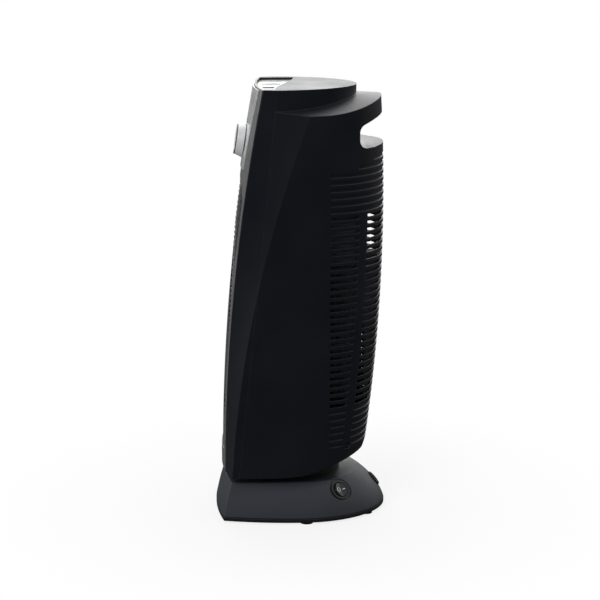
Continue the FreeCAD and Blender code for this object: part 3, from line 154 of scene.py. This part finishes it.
class HeaterSizes(bpy.types.PropertyGroup):
    """Sizes of the marks and trims."""

    mark_radius: length("O mark", "Radius of the O on the rocker", 2.5)
    mark_bar: length("I mark", "Length of the I on the rocker", 4.4)
    mark_width: length("Mark width", "Stroke of the marks on the rocker", 0.9)
    mark_offset: length("Mark offset", "Distance of a mark from the rocker's valley", 4.3)
    rocker_crown: length("Rocker crown", "Height of the valley over the pivot", 3.4)
    rocker_tilt: angle("Rocker tilt", "Half of the rocker's swing", 9)
    knob_front: length("Knob front", "Distance of the knob's face from the fascia", 12.2)
    knob_radius: length("Knob radius", "Radius of the knob's front", 18.6)
    knob_dish: length("Knob dish", "Depth of the dish in the knob's face", 0.8)
    rim_line: length("Rim line", "Width of the dark line round the knob's front", 1.6)
    pointer: length("Pointer", "Length of the pointer on the knob", 9)
    pointer_offset: length("Pointer offset", "Distance of the pointer's middle from the knob's", 7.812)
    pointer_width: length("Pointer width", "Width of the pointer", 1.6)
    pointer_height: length("Pointer height", "Thickness of the pointer, half of it sunk", 0.9)
    dial_sweep: angle("Dial sweep", "Angle over which the knob turns", 270)
    tick_radius: length("Dial radius", "Radius of the ring of dial marks", 27)
    tick_length: length("Dial mark", "Length of a dial mark", 2.6)
    tick_width: length("Dial mark width", "Width of a dial mark", 0.8)
    tick_height: length("Dial mark height", "Thickness of a dial mark, half of it sunk", 0.24)
    front_bow: length("Front bow", "Radius of the bowed front in plan", 300)
    front_lean: length("Front lean", "Radius of the front's lean", 2660)
    front_depth: length("Front depth", "Depth of the front at the tower's foot", 100)
    tower_foot: length("Tower foot", "Height of the tower's foot", 57.5)
    plate_proud: length("Plate", "Thickness of the control plate", 1.3)
    base_rim: length("Base rim", "Height of the black rim of the base over the floor", 9)
    gland_depth: length("Gland depth", "Distance of the cord inlet behind the middle", 94.3)
    gland_level: length("Gland level", "Height of the cord inlet over the floor", 29.8)
    gland_lean: angle("Gland lean", "Lean of the rear slope that carries the cord inlet", 40)
    gland_radius: length("Gland radius", "Radius of the bead round the cord inlet", 6.4)
    gland_bead: length("Gland bead", "Half of the bead's width", 2.0)
    baffle_depth: length("Baffle depth", "Depth at which the baffle behind the upper slots begins", 93)
    baffle_level: length("Baffle level", "Height of the middle of the baffle", 368)
    baffle_height: length("Baffle height", "Height of the baffle from end to end", 72)
    baffle_width: length("Baffle width", "Width of the baffle from front to back", 8)
    baffle_thickness: length("Baffle thickness", "Thickness of the baffle", 2)
    inlay_level: length("Inlay level", "Height of the inset panel's face", 537)
    ridge_offset: length("Ridge offset", "Distance of a ridge on the inset panel from its middle", 16)
    ridge_far: length("Far ridge", "Length of the ridge on the far side", 24)
    ridge_near: length("Near ridge", "Length of the ridge on the switch side", 15)
    ridge_width: length("Ridge width", "Width of a ridge on the inset panel", 2.4)
    ridge_height: length("Ridge height", "Height of a ridge over the inset panel", 1.2)
    ridge_front: length("Ridge front", "Distance of the ridges' front ends before the middle", 47)


# Meshes worked out on a grid

def grid_faces(rows, columns, wrap_rows, wrap_columns):
    """Quads between neighbouring points of a grid, joined over the seam where a direction wraps."""
    index = np.arange(rows * columns).reshape(rows, columns)
    if wrap_rows:
        index = np.vstack([index, index[:1]])
    if wrap_columns:
        index = np.hstack([index, index[:, :1]])
    corners = (index[:-1, :-1], index[:-1, 1:], index[1:, 1:], index[1:, :-1])
    return np.stack(corners, axis=-1).reshape(-1, 4)


def build(name, parts, body, material):
    """Make one piece of several closed grids of points, and ride it on a body.

    A part is its grid, and whether its rows and its columns wrap. Poles are merged, and faces are
    turned outwards.
    """
    points, faces, start = [], [], 0
    for grid, wrap_rows, wrap_columns in parts:
        points.append(grid.reshape(-1, 3))
        faces.append(grid_faces(*grid.shape[:2], wrap_rows, wrap_columns) + start)
        start += len(points[-1])
    mesh = bpy.data.meshes.new(name)
    mesh.from_pydata(np.vstack(points).tolist(), [], np.vstack(faces).tolist())
    work = bmesh.new()
    work.from_mesh(mesh)
    bmesh.ops.remove_doubles(work, verts=work.verts, dist=MM / 1000)
    bmesh.ops.recalc_face_normals(work, faces=work.faces)
    work.to_mesh(mesh)
    work.free()
    mesh.shade_smooth()
    mesh.materials.append(material)
    piece = bpy.data.objects.new(name, mesh)
    bpy.context.scene.collection.objects.link(piece)
    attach(piece, body)
    return piece


def ring(centre, axis_u, axis_v, radius, tube, steps=96, sides=10):
    """Torus: a circle of the ring's radius carries a small circle that stands on its plane's normal.

    Where one axis is longer than the other, the circle is an oval.
    """
    turn = np.linspace(0, 2 * np.pi, steps, endpoint=False)[:, None, None]
    roll = np.linspace(0, 2 * np.pi, sides, endpoint=False)[None, :, None]
    out = np.cos(turn) * np.array(axis_u) + np.sin(turn) * np.array(axis_v)
    up = np.cross(axis_u, axis_v)
    return (np.array(centre) + out * (radius + tube * np.cos(roll)) + up * tube * np.sin(roll), True, True)


def bar(centre, axis_u, axis_v, half_length, half_width, half_height, power=0.45, steps=28, sides=14):
    """Rounded bar: an ellipsoid whose sines and cosines are raised to a power.

    The further the power is below one, the better the bar fills its box.
    """
    def swell(value):
        return np.sign(value) * np.abs(value) ** power

    turn = np.linspace(0, 2 * np.pi, steps, endpoint=False)[:, None, None]
    rise = np.linspace(-np.pi / 2, np.pi / 2, sides)[None, :, None]
    flat = swell(np.cos(rise))
    along = half_length * flat * swell(np.cos(turn)) * np.array(axis_u)
    across = half_width * flat * swell(np.sin(turn)) * np.array(axis_v)
    up = half_height * swell(np.sin(rise)) * np.cross(axis_u, axis_v)
    return (np.array(centre) + along + across + up, True, False)


# Materials

def add(tree, kind, settings=None, **inputs):
    """Add a node, set it up, and give each input its value or the socket that feeds it.

    An input goes by its name, or by an underscore and its number.
    """
    node = tree.nodes.new(kind)
    for name, value in (settings or {}).items():
        setattr(node, name, value)
    for name, value in inputs.items():
        socket = node.inputs[int(name[1:])] if name[1:].isdigit() else node.inputs[name.replace("_", " ")]
        if isinstance(value, bpy.types.NodeSocket):
            tree.links.new(value, socket)
        else:
            socket.default_value = value
    return node


def scale_of(millimetres):
    """Texture scale at which one feature of a pattern has this size."""
    return 1 / (millimetres * MM)


def finish(name, tint, roughness, grain=2.4, grain_depth=0.02, smudge=70, spread=0.07, edge=0.7, scuff=0.05,
           cells=0, cell_tint=0.0, border=None, **shader):
    """Build a material: grain as bump, smudges in the gloss, soft and scuffed edges, cells if it has any.

    Sizes are in millimetres; spread is how far the roughness wanders, scuff how much an edge lightens,
    cell_tint how far the colour of the cells (flakes) wanders. A border is an axis, the two places on it in
    metres between which the colour goes over, and the colour beyond.
    """
    material = bpy.data.materials.new(name)
    material.use_nodes = True
    tree = material.node_tree
    tree.nodes.clear()
    place = add(tree, "ShaderNodeTexCoord").outputs["Object"]
    fine = add(tree, "ShaderNodeTexNoise", Vector=place, Scale=scale_of(grain), Detail=3.0, Roughness=0.55)
    broad = add(tree, "ShaderNodeTexNoise", Vector=place, Scale=scale_of(smudge), Detail=4.0, Roughness=0.6)
    gloss = add(tree, "ShaderNodeMapRange", Value=broad.outputs[0], From_Min=GLOSS_NOISE[0],
                From_Max=GLOSS_NOISE[1], To_Min=roughness - spread, To_Max=roughness + spread)
    rounded = add(tree, "ShaderNodeBevel", {"samples": BEVEL_SAMPLES}, Radius=edge * MM).outputs[0]
    plain = add(tree, "ShaderNodeNewGeometry").outputs["Normal"]
    turned = add(tree, "ShaderNodeVectorMath", {"operation": "DOT_PRODUCT"}, _0=rounded, _1=plain)
    worn = add(tree, "ShaderNodeMapRange", Value=turned.outputs["Value"], From_Min=WEAR[0],
               From_Max=WEAR[1], To_Min=0.0, To_Max=1.0)
    patchy = add(tree, "ShaderNodeMath", {"operation": "MULTIPLY"}, _0=worn.outputs[0], _1=broad.outputs[0])
    tone = add(tree, "ShaderNodeMapRange", Value=broad.outputs[0], From_Min=TONE_NOISE[0],
               From_Max=TONE_NOISE[1], To_Min=1 - TONE_REACH, To_Max=1 + TONE_REACH)
    body = add(tree, "ShaderNodeMix", {"data_type": "RGBA", "blend_type": "MULTIPLY"}, _0=1.0,
               _6=(*tint, 1), _7=tone.outputs[0]).outputs[2]
    if cells:
        flake = add(tree, "ShaderNodeTexVoronoi", Vector=place, Scale=scale_of(cells))
        shade = add(tree, "ShaderNodeSeparateColor", Color=flake.outputs["Color"]).outputs[0]
        level = add(tree, "ShaderNodeMapRange", Value=shade, To_Min=1 - cell_tint, To_Max=1 + cell_tint)
        body = add(tree, "ShaderNodeMix", {"data_type": "RGBA", "blend_type": "MULTIPLY"}, _0=1.0,
                   _6=body, _7=level.outputs[0]).outputs[2]
    if border:
        axis, start, end, other = border
        beyond = add(tree, "ShaderNodeMapRange", From_Min=start, From_Max=end,
                     Value=add(tree, "ShaderNodeSeparateXYZ", Vector=place).outputs[axis])
        body = add(tree, "ShaderNodeMix", {"data_type": "RGBA"}, _0=beyond.outputs[0], _6=body,
                   _7=(*other, 1)).outputs[2]
    pale = tuple(value + (1 - value) * scuff for value in tint)
    mixed = add(tree, "ShaderNodeMix", {"data_type": "RGBA"}, _0=patchy.outputs[0], _6=body, _7=(*pale, 1))
    relief = add(tree, "ShaderNodeBump", Strength=1.0, Distance=grain_depth * MM, Height=fine.outputs[0],
                 Normal=rounded)
    surface = add(tree, "ShaderNodeBsdfPrincipled", Base_Color=mixed.outputs[2], Roughness=gloss.outputs[0],
                  Normal=relief.outputs[0], **shader)
    add(tree, "ShaderNodeOutputMaterial", Surface=surface.outputs[0])
    return material


def dress(material, *nodes):
    """Give solids of the frame this material."""
    for node in nodes:
        solid = frame["nodes"][node]
        if not solid.material_slots:
            solid.data.materials.append(material)
        for slot in solid.material_slots:
            slot.material = material


def colours():
    """Colours as the user left them."""
    return bpy.context.scene.heater_colours


def sizes():
    """Sizes as the user left them."""
    return bpy.context.scene.heater_sizes


def unit(vector):
    """Vector of length one in the same direction."""
    return np.array(vector) / np.linalg.norm(vector)


class HEATER_OT_casing(bpy.types.Operator):
    """Black casings and the louvres"""

    bl_idname = "heater.casing"
    bl_label = "Casing and grille"

    def execute(self, context):
        tint = colours()
        # Injection-moulded ABS, satin spark-eroded tool: deep black with a soft sheen at grazing angles.
        # The real grain of 0.1 mm is drawn at 1.6 mm, so that it shows.
        shell = finish("satin_black_abs", tint.casing, roughness=0.40, grain=1.6, grain_depth=0.010,
                       smudge=90, edge=1.3, scuff=0.02, IOR=1.52)
        dress(shell, "rear_casing", "front_casing")
        # Glass-filled moulding of the louvres: duller, because it stands in the hot air.
        louvres = finish("matt_black_louvre_moulding", tint.grille, roughness=0.48, grain=1.2,
                         grain_depth=0.02, smudge=40, edge=0.4, scuff=0.06, IOR=1.5)
        dress(louvres, "front_grille")
        return {"FINISHED"}


class HEATER_OT_panel(bpy.types.Operator):
    """Fascia, control plate and top inlay with its ridges"""

    bl_idname = "heater.panel"
    bl_label = "Fascia and control plate"

    def execute(self, context):
        size, tint = sizes(), colours()
        # Grey metallic lacquer sprayed on ABS: even grey with fine flakes, drawn at 1 mm so that they show.
        grey = finish("grey_flake_lacquer", tint.fascia, roughness=0.40, grain=3.0, grain_depth=0.01,
                      smudge=60, edge=0.8, scuff=0.25, cells=1.0, cell_tint=0.10, Metallic=0.35)
        dress(grey, "fascia_frame")
        # Bright silver lacquer under a clear coat: nearly white, with a soft mirror on top.
        silver = finish("bright_silver_lacquer", tint.plate, roughness=0.30, grain=3.0,
                        grain_depth=0.006, smudge=50, edge=0.5, scuff=0.3, cells=0.8, cell_tint=0.05,
                        Metallic=0.45, Coat_Weight=0.4, Coat_Roughness=0.12)
        dress(silver, "control_plate")
        # Polished white acrylic panel, let into the top, screen-printed dark on the switch side.
        printed = ("X", size.ridge_offset, size.ridge_offset + PRINT_EDGE, tint.border)
        white = finish("white_acrylic_panel", tint.inlay, roughness=0.16, grain=4.0, grain_depth=0.004,
                       smudge=30, edge=0.4, scuff=0.1, spread=0.05, border=printed, IOR=1.49)
        dress(white, "top_inlay")
        ridges = []
        for way, reach in ((-1, size.ridge_far), (1, size.ridge_near)):
            centre = (way * size.ridge_offset, reach / 2 - size.ridge_front, size.inlay_level)
            ridges.append(bar(centre, BACK, SIDE, reach / 2, size.ridge_width / 2, size.ridge_height))
        build("inlay_ridges", ridges, "tower", silver)
        return {"FINISHED"}


class HEATER_OT_base(bpy.types.Operator):
    """Base cover, bottom plate, turntable, feet and cord inlet"""

    bl_idname = "heater.base"
    bl_label = "Base"

    def execute(self, context):
        size, tint = sizes(), colours()
        # Charcoal ABS with a coarser spark grain than the casing: matt, so it looks lighter than it is,
        # over a black rim along the floor.
        rim = ("Z", size.base_rim, size.base_rim - PRINT_EDGE, tint.under)
        cover = finish("grained_charcoal_abs", tint.base, roughness=0.52, grain=1.8, grain_depth=0.03,
                       smudge=55, edge=0.8, scuff=0.10, border=rim, IOR=1.5)
        dress(cover, "base_cover")
        # Plain black moulding of the parts that hardly show.
        under = finish("plain_black_polypropylene", tint.under, roughness=0.55, grain=2.0,
                       grain_depth=0.02, scuff=0.05, IOR=1.49)
        dress(under, "base_plate", "pivot_bush", "turntable_hub", "oscillation_arm", "crank_disc",
              "tilt_switch")
        # Moulded rubber: the dullest black of all.
        soft = finish("black_moulded_rubber", tint.rubber, roughness=0.72, grain=1.0, grain_depth=0.03,
                      smudge=20, edge=0.6, scuff=0.04)
        dress(soft, "rubber_feet")
        # Low oval bead round the cord inlet, closed by a skin, flat on the rear slope.
        down = math.sin(size.gland_lean) * BACK - math.cos(size.gland_lean) * UP
        centre = size.gland_depth * BACK + size.gland_level * UP
        bead = build("gland_bead", [
            ring(centre, SIDE, down * GLAND_STRETCH, size.gland_radius, size.gland_bead, steps=64,
                 sides=16),
            bar(centre, down, SIDE, size.gland_radius * GLAND_STRETCH, size.gland_radius,
                size.gland_bead / 2, power=1),
        ], "base", soft)
        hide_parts("cord_gland")
        return {"FINISHED"}


class HEATER_OT_switch(bpy.types.Operator):
    """Rocker switch with its O and I"""

    bl_idname = "heater.switch"
    bl_label = "Rocker switch"

    def execute(self, context):
        size, tint = sizes(), colours()
        # Polished nylon of the switch: small sharp highlights on black.
        black = finish("polished_black_nylon", tint.rocker, roughness=0.20, grain=1.0, grain_depth=0.004,
                       smudge=12, edge=0.5, scuff=0.08, spread=0.06, IOR=1.53)
        dress(black, "switch_body", "power_rocker")
        # Pad-printed ink: pale and matt.
        ink = finish("pale_pad_ink", tint.mark, roughness=0.55, grain=0.6, grain_depth=0.01, smudge=8,
                     edge=0.1, scuff=0.0)
        # The rocker's halves meet in a valley. At rest the I's half lies level, and the O's is raised.
        joint = JOINTS["power_rock"]
        across = -unit(joint["axis"])
        along = unit(np.cross(across, UP))
        out = np.cross(along, across)
        tilt = size.rocker_tilt
        crown = math.sin(tilt) * along + math.cos(tilt) * out
        valley = np.array(joint["pos_m"]) + size.rocker_crown * crown
        raised = -math.cos(2 * tilt) * along + math.sin(2 * tilt) * out
        half = size.mark_width / 2
        build("rocker_marks", [
            bar(valley + along * size.mark_offset, along, across, size.mark_bar / 2, half, half / 2),
            ring(valley + raised * size.mark_offset, raised, across, size.mark_radius, half * O_STROKE,
                 steps=48),
        ], "rocker", ink)
        return {"FINISHED"}


class HEATER_OT_knob(bpy.types.Operator):
    """Knob with its rim line and pointer, and the ring of dial marks"""

    bl_idname = "heater.knob"
    bl_label = "Knob and dial"

    def execute(self, context):
        size, tint = sizes(), colours()
        # Silver lacquer on a turned-looking moulding: bright, a little duller than the plate.
        silver = finish("satin_silver_knob_lacquer", tint.knob, roughness=0.34, grain=2.0,
                        grain_depth=0.008, smudge=18, edge=0.7, scuff=0.25, cells=0.8, cell_tint=0.06,
                        Metallic=0.3)
        dress(silver, "thermostat_knob")
        # Dark screen-printed ink of the dial marks and the pointer: matt. The ring round the knob's front
        # takes the same colour.
        ink = finish("dark_screen_ink", tint.ink, roughness=0.5, grain=0.6, grain_depth=0.005, smudge=10,
                     edge=0.1, scuff=0.0)
        joint = JOINTS["knob_turn"]
        seat, out = np.array(joint["pos_m"]), unit(joint["axis"])
        up = np.cross(SIDE, -out)
        half = size.rim_line / 2
        # Dark ring just inside the edge of the knob's front, in the ink's colour.
        build("knob_rim_line", [
            ring(seat + out * (size.knob_front - half), SIDE, up, size.knob_radius - half * RIM_SINK, half),
        ], "knob", ink)
        # At rest the knob is at the right end of its sweep, and turns to the left from there.
        end = size.dial_sweep / 2
        aim = math.sin(end) * SIDE + math.cos(end) * up
        across = math.cos(end) * SIDE - math.sin(end) * up
        face = seat + out * (size.knob_front - size.knob_dish)
        build("knob_pointer", [
            bar(face + aim * size.pointer_offset, aim, across, size.pointer / 2, size.pointer_width / 2,
                size.pointer_height / 2),
        ], "knob", ink)
        # The marks lie on the plate, which is bowed in plan and leans back with the square of the height.
        marks = []
        bow = size.front_bow + size.plate_proud
        for turn in np.linspace(-end, end, DIAL_MARKS):
            radial = math.sin(turn) * SIDE + math.cos(turn) * up
            centre = seat + radial * size.tick_radius
            rise = centre[2] - size.tower_foot
            lean = rise ** 2 / (2 * size.front_lean) - size.front_depth
            centre[1] = lean + size.front_bow - math.sqrt(bow ** 2 - centre[0] ** 2)
            normal = unit((centre[0] / bow, -1, rise / size.front_lean))
            long_way = unit(radial - normal * radial.dot(normal))
            marks.append(bar(centre, long_way, np.cross(normal, long_way), size.tick_length / 2,
                             size.tick_width / 2, size.tick_height / 2, steps=16, sides=8))
        build("dial_marks", marks, "tower", ink)
        return {"FINISHED"}


class HEATER_OT_works(bpy.types.Operator):
    """Blower, element, baffle, thermostat, motors and fasteners inside"""

    bl_idname = "heater.works"
    bl_label = "Inner works"

    def execute(self, context):
        size, tint = sizes(), colours()
        # Folded sheet steel under baked black paint: matt, with an orange-peel skin of about 2 mm. Its dark
        # grey sits above that black as painted light, so that the shaded inside seen through the slots is
        # not black.
        painted = finish("black_painted_sheet_steel", tint.sheet, roughness=0.5, grain=2.0,
                         grain_depth=0.02, smudge=25, scuff=0.1)
        dress(painted, "fan_top_plate", "fan_bottom_plate", "scroll_guide", "scroll_tongue", "fan_motor",
              "oscillation_motor")
        # Glass-filled polyester that stands the heat: dark grey, dull, with a coarse flow grain. The grey
        # is lighter than the moulding's own, as painted light, so that the shaded inside seen through the
        # slots is not black.
        sturdy = finish("glass_filled_polyester", tint.hot, roughness=0.6, grain=2.5, grain_depth=0.03,
                        smudge=30, scuff=0.1)
        dress(sturdy, "heater_frame", "control_box", "impeller")
        # Baffle plate that stands on the middle of the back wall, behind the upper intake slots.
        half = size.baffle_width / 2
        centre = (size.baffle_depth + half) * BACK + size.baffle_level * UP
        build("intake_baffle", [
            bar(centre, UP, BACK, size.baffle_height / 2, half, size.baffle_thickness / 2, power=0.2),
        ], "tower", sturdy)
        # Zinc-plated screws and ground shafts: bright, with a fine grain.
        steel = finish("zinc_plated_steel", tint.steel, roughness=0.3, grain=0.8, grain_depth=0.006,
                       smudge=8, edge=0.3, scuff=0.15, Metallic=1.0)
        dress(steel, "casing_screws", "base_screws", "hub_screws", "fan_shaft", "crank_pin",
              "thermostat_spindle")
        # Rolled aluminium fins of the ceramic element: pale and a little dull.
        fins = finish("rolled_aluminium_fins", tint.fins, roughness=0.35, grain=1.0, grain_depth=0.01,
                      smudge=15, edge=0.3, scuff=0.1, Metallic=1.0)
        dress(fins, "heater_core")
        # Turned brass: warm and bright.
        brass = finish("turned_brass", tint.brass, roughness=0.3, grain=0.8, grain_depth=0.006, smudge=8,
                       edge=0.3, scuff=0.2, Metallic=1.0)
        dress(brass, "shaft_bearing", "thermal_cutout")
        # Pressed phenolic of the thermostat: brown, mottled by its filler.
        brown = finish("pressed_phenolic", tint.phenolic, roughness=0.42, grain=1.2, grain_depth=0.01,
                       cells=2, cell_tint=0.08)
        dress(brown, "thermostat_body")
        # Natural nylon of the terminals: off-white and waxy.
        nylon = finish("natural_nylon", tint.nylon, roughness=0.4, grain=1.5, grain_depth=0.01,
                       smudge=20)
        dress(nylon, "terminal_block")
        return {"FINISHED"}


class HEATER_OT_stage(bpy.types.Operator):
    """Pale floor, soft lamps, white surroundings and the camera"""

    bl_idname = "heater.stage"
    bl_label = "Studio"

    def execute(self, context):
        scene = context.scene
        scene.view_settings.view_transform = "Standard"
        self.floor(scene)
        self.surroundings(scene)
        # A small overhead softbox on the far side, the key from the camera's side, and a wide softbox
        # behind that shines on the top and on the ledge below it.
        for softbox in SOFTBOXES:
            self.softbox(scene, *softbox)
        self.camera(scene)
        return {"FINISHED"}

    def floor(self, scene):
        """Round floor: rings of growing radius about the object, flat at height zero.

        The eye sees it fade to white towards its rim, and the gloss sees it dark.
        """
        radius = np.linspace(0, FLOOR_REACH, FLOOR_RINGS)[:, None]
        turn = np.linspace(0, 2 * np.pi, FLOOR_SIDES, endpoint=False)[None, :]
        flat = np.zeros((FLOOR_RINGS, FLOOR_SIDES))
        grid = np.stack([radius * np.cos(turn), radius * np.sin(turn), flat], axis=-1)
        faces = grid_faces(FLOOR_RINGS, FLOOR_SIDES, False, True)
        mesh = bpy.data.meshes.new("studio_floor")
        mesh.from_pydata(grid.reshape(-1, 3).tolist(), [], faces.tolist())
        board = bpy.data.objects.new("studio_floor", mesh)
        scene.collection.objects.link(board)
        paint = bpy.data.materials.new("pale_studio_floor")
        paint.use_nodes = True
        tree = paint.node_tree
        tree.nodes.clear()
        path = add(tree, "ShaderNodeLightPath").outputs
        tint = add(tree, "ShaderNodeMix", {"data_type": "RGBA"}, _0=path["Is Glossy Ray"],
                   _6=(*colours().floor, 1), _7=(FLOOR_GLOSS, FLOOR_GLOSS, FLOOR_GLOSS, 1))
        matt = add(tree, "ShaderNodeBsdfDiffuse", Color=tint.outputs[2])
        glow = add(tree, "ShaderNodeEmission", Color=(1, 1, 1, 1), Strength=1.0)
        away = add(tree, "ShaderNodeVectorMath", {"operation": "LENGTH"},
                   _0=add(tree, "ShaderNodeTexCoord").outputs["Object"])
        fade = add(tree, "ShaderNodeMapRange", {"interpolation_type": "SMOOTHSTEP"},
                   Value=away.outputs["Value"], From_Min=FADE[0], From_Max=FADE[1], To_Min=FADE_LEAST,
                   To_Max=1.0)
        seen = add(tree, "ShaderNodeMath", {"operation": "MULTIPLY"}, _0=path["Is Camera Ray"],
                   _1=fade.outputs[0])
        mixed = add(tree, "ShaderNodeMixShader", _0=seen.outputs[0], _1=matt.outputs[0], _2=glow.outputs[0])
        add(tree, "ShaderNodeOutputMaterial", Surface=mixed.outputs[0])
        mesh.materials.append(paint)

    def surroundings(self, scene):
        """White to the eye; the gloss sees a room that is bright behind the object and dim before it."""
        world = bpy.data.worlds.new("studio")
        world.use_nodes = True
        scene.world = world
        tree = world.node_tree
        tree.nodes.clear()
        path = add(tree, "ShaderNodeLightPath").outputs
        look = add(tree, "ShaderNodeTexCoord").outputs["Generated"]
        away = add(tree, "ShaderNodeVectorMath", {"operation": "DOT_PRODUCT"}, _0=look, _1=BRIGHT_WAY)
        room = add(tree, "ShaderNodeMapRange", {"interpolation_type": "SMOOTHSTEP"},
                   Value=away.outputs["Value"], From_Min=ROOM_TURN[0], From_Max=ROOM_TURN[1],
                   To_Min=ROOM_DIM, To_Max=1.0)
        height = add(tree, "ShaderNodeSeparateXYZ", Vector=look).outputs["Z"]
        above = add(tree, "ShaderNodeMapRange", {"interpolation_type": "SMOOTHSTEP"}, Value=height,
                    From_Min=HORIZON[0], From_Max=HORIZON[1], To_Min=BELOW_DIM, To_Max=1.0)
        both = add(tree, "ShaderNodeMath", {"operation": "MULTIPLY"}, _0=room.outputs[0],
                   _1=above.outputs[0])
        level = add(tree, "ShaderNodeMix", {"data_type": "FLOAT"}, _0=path["Is Glossy Ray"], _2=AMBIENT,
                    _3=both.outputs[0])
        seen = add(tree, "ShaderNodeMath", {"operation": "MAXIMUM"}, _0=path["Is Camera Ray"],
                   _1=path["Is Transmission Ray"])
        strength = add(tree, "ShaderNodeMix", {"data_type": "FLOAT"}, _0=seen.outputs[0],
                       _2=level.outputs[0], _3=1.0)
        sky = add(tree, "ShaderNodeBackground", Color=(1, 1, 1, 1), Strength=strength.outputs[0])
        add(tree, "ShaderNodeOutputWorld", Surface=sky.outputs[0])

    def softbox(self, scene, name, spot, aim, width, height, power, mirrored):
        """Oblong lamp that faces its aim, hidden from the camera."""
        lamp = bpy.data.lights.new(name, "AREA")
        lamp.shape, lamp.size, lamp.size_y, lamp.energy = "RECTANGLE", width, height, power
        holder = bpy.data.objects.new(name, lamp)
        scene.collection.objects.link(holder)
        holder.location = spot
        holder.rotation_euler = (Vector(aim) - Vector(spot)).to_track_quat("-Z", "Y").to_euler()
        holder.visible_camera = False
        holder.visible_glossy = mirrored

    def camera(self, scene):
        """Long lens, turned round the object from its front and raised above the floor."""
        turn, rise = math.radians(CAMERA_TURN), math.radians(CAMERA_RISE)
        aim = Vector((0, 0, CAMERA_AIM))
        back = Vector((math.sin(turn) * math.cos(rise), -math.cos(turn) * math.cos(rise), math.sin(rise)))
        lens = bpy.data.cameras.new("camera")
        lens.angle = 2 * math.atan(CAMERA_HALF_VIEW / CAMERA_DISTANCE)
        eye = bpy.data.objects.new("camera", lens)
        scene.collection.objects.link(eye)
        eye.location = aim + back * CAMERA_DISTANCE
        eye.rotation_euler = (-back).to_track_quat("-Z", "Y").to_euler()
        scene.camera = eye


OPERATORS = (HEATER_OT_casing, HEATER_OT_panel, HEATER_OT_base, HEATER_OT_switch, HEATER_OT_knob,
             HEATER_OT_works, HEATER_OT_stage)


class HEATER_PT_finish(bpy.types.Panel):
    """Heater's finishes, in the order in which they are made"""

    bl_idname = "HEATER_PT_finish"
    bl_label = "Heater"
    bl_space_type = "VIEW_3D"
    bl_region_type = "UI"
    bl_category = "Heater"

    def draw(self, context):
        for operator in OPERATORS:
            self.layout.operator(operator.bl_idname)
        for group in (context.scene.heater_sizes, context.scene.heater_colours):
            column = self.layout.column()
            for name in group.__annotations__:
                column.prop(group, name)


CLASSES = (HeaterColours, HeaterSizes, *OPERATORS, HEATER_PT_finish)


def register():
    """Add the classes, and their settings to the scene."""
    for item in CLASSES:
        bpy.utils.register_class(item)
    bpy.types.Scene.heater_colours = bpy.props.PointerProperty(type=HeaterColours)
    bpy.types.Scene.heater_sizes = bpy.props.PointerProperty(type=HeaterSizes)


def unregister():
    """Take the settings and the classes away again."""
    del bpy.types.Scene.heater_sizes
    del bpy.types.Scene.heater_colours
    for item in reversed(CLASSES):
        bpy.utils.unregister_class(item)


def main():
    """Dress the heater and set up the studio."""
    register()
    bpy.ops.heater.casing()
    bpy.ops.heater.panel()
    bpy.ops.heater.base()
    bpy.ops.heater.switch()
    bpy.ops.heater.knob()
    bpy.ops.heater.works()
    bpy.ops.heater.stage()


if __name__ == "__main__":
    main()
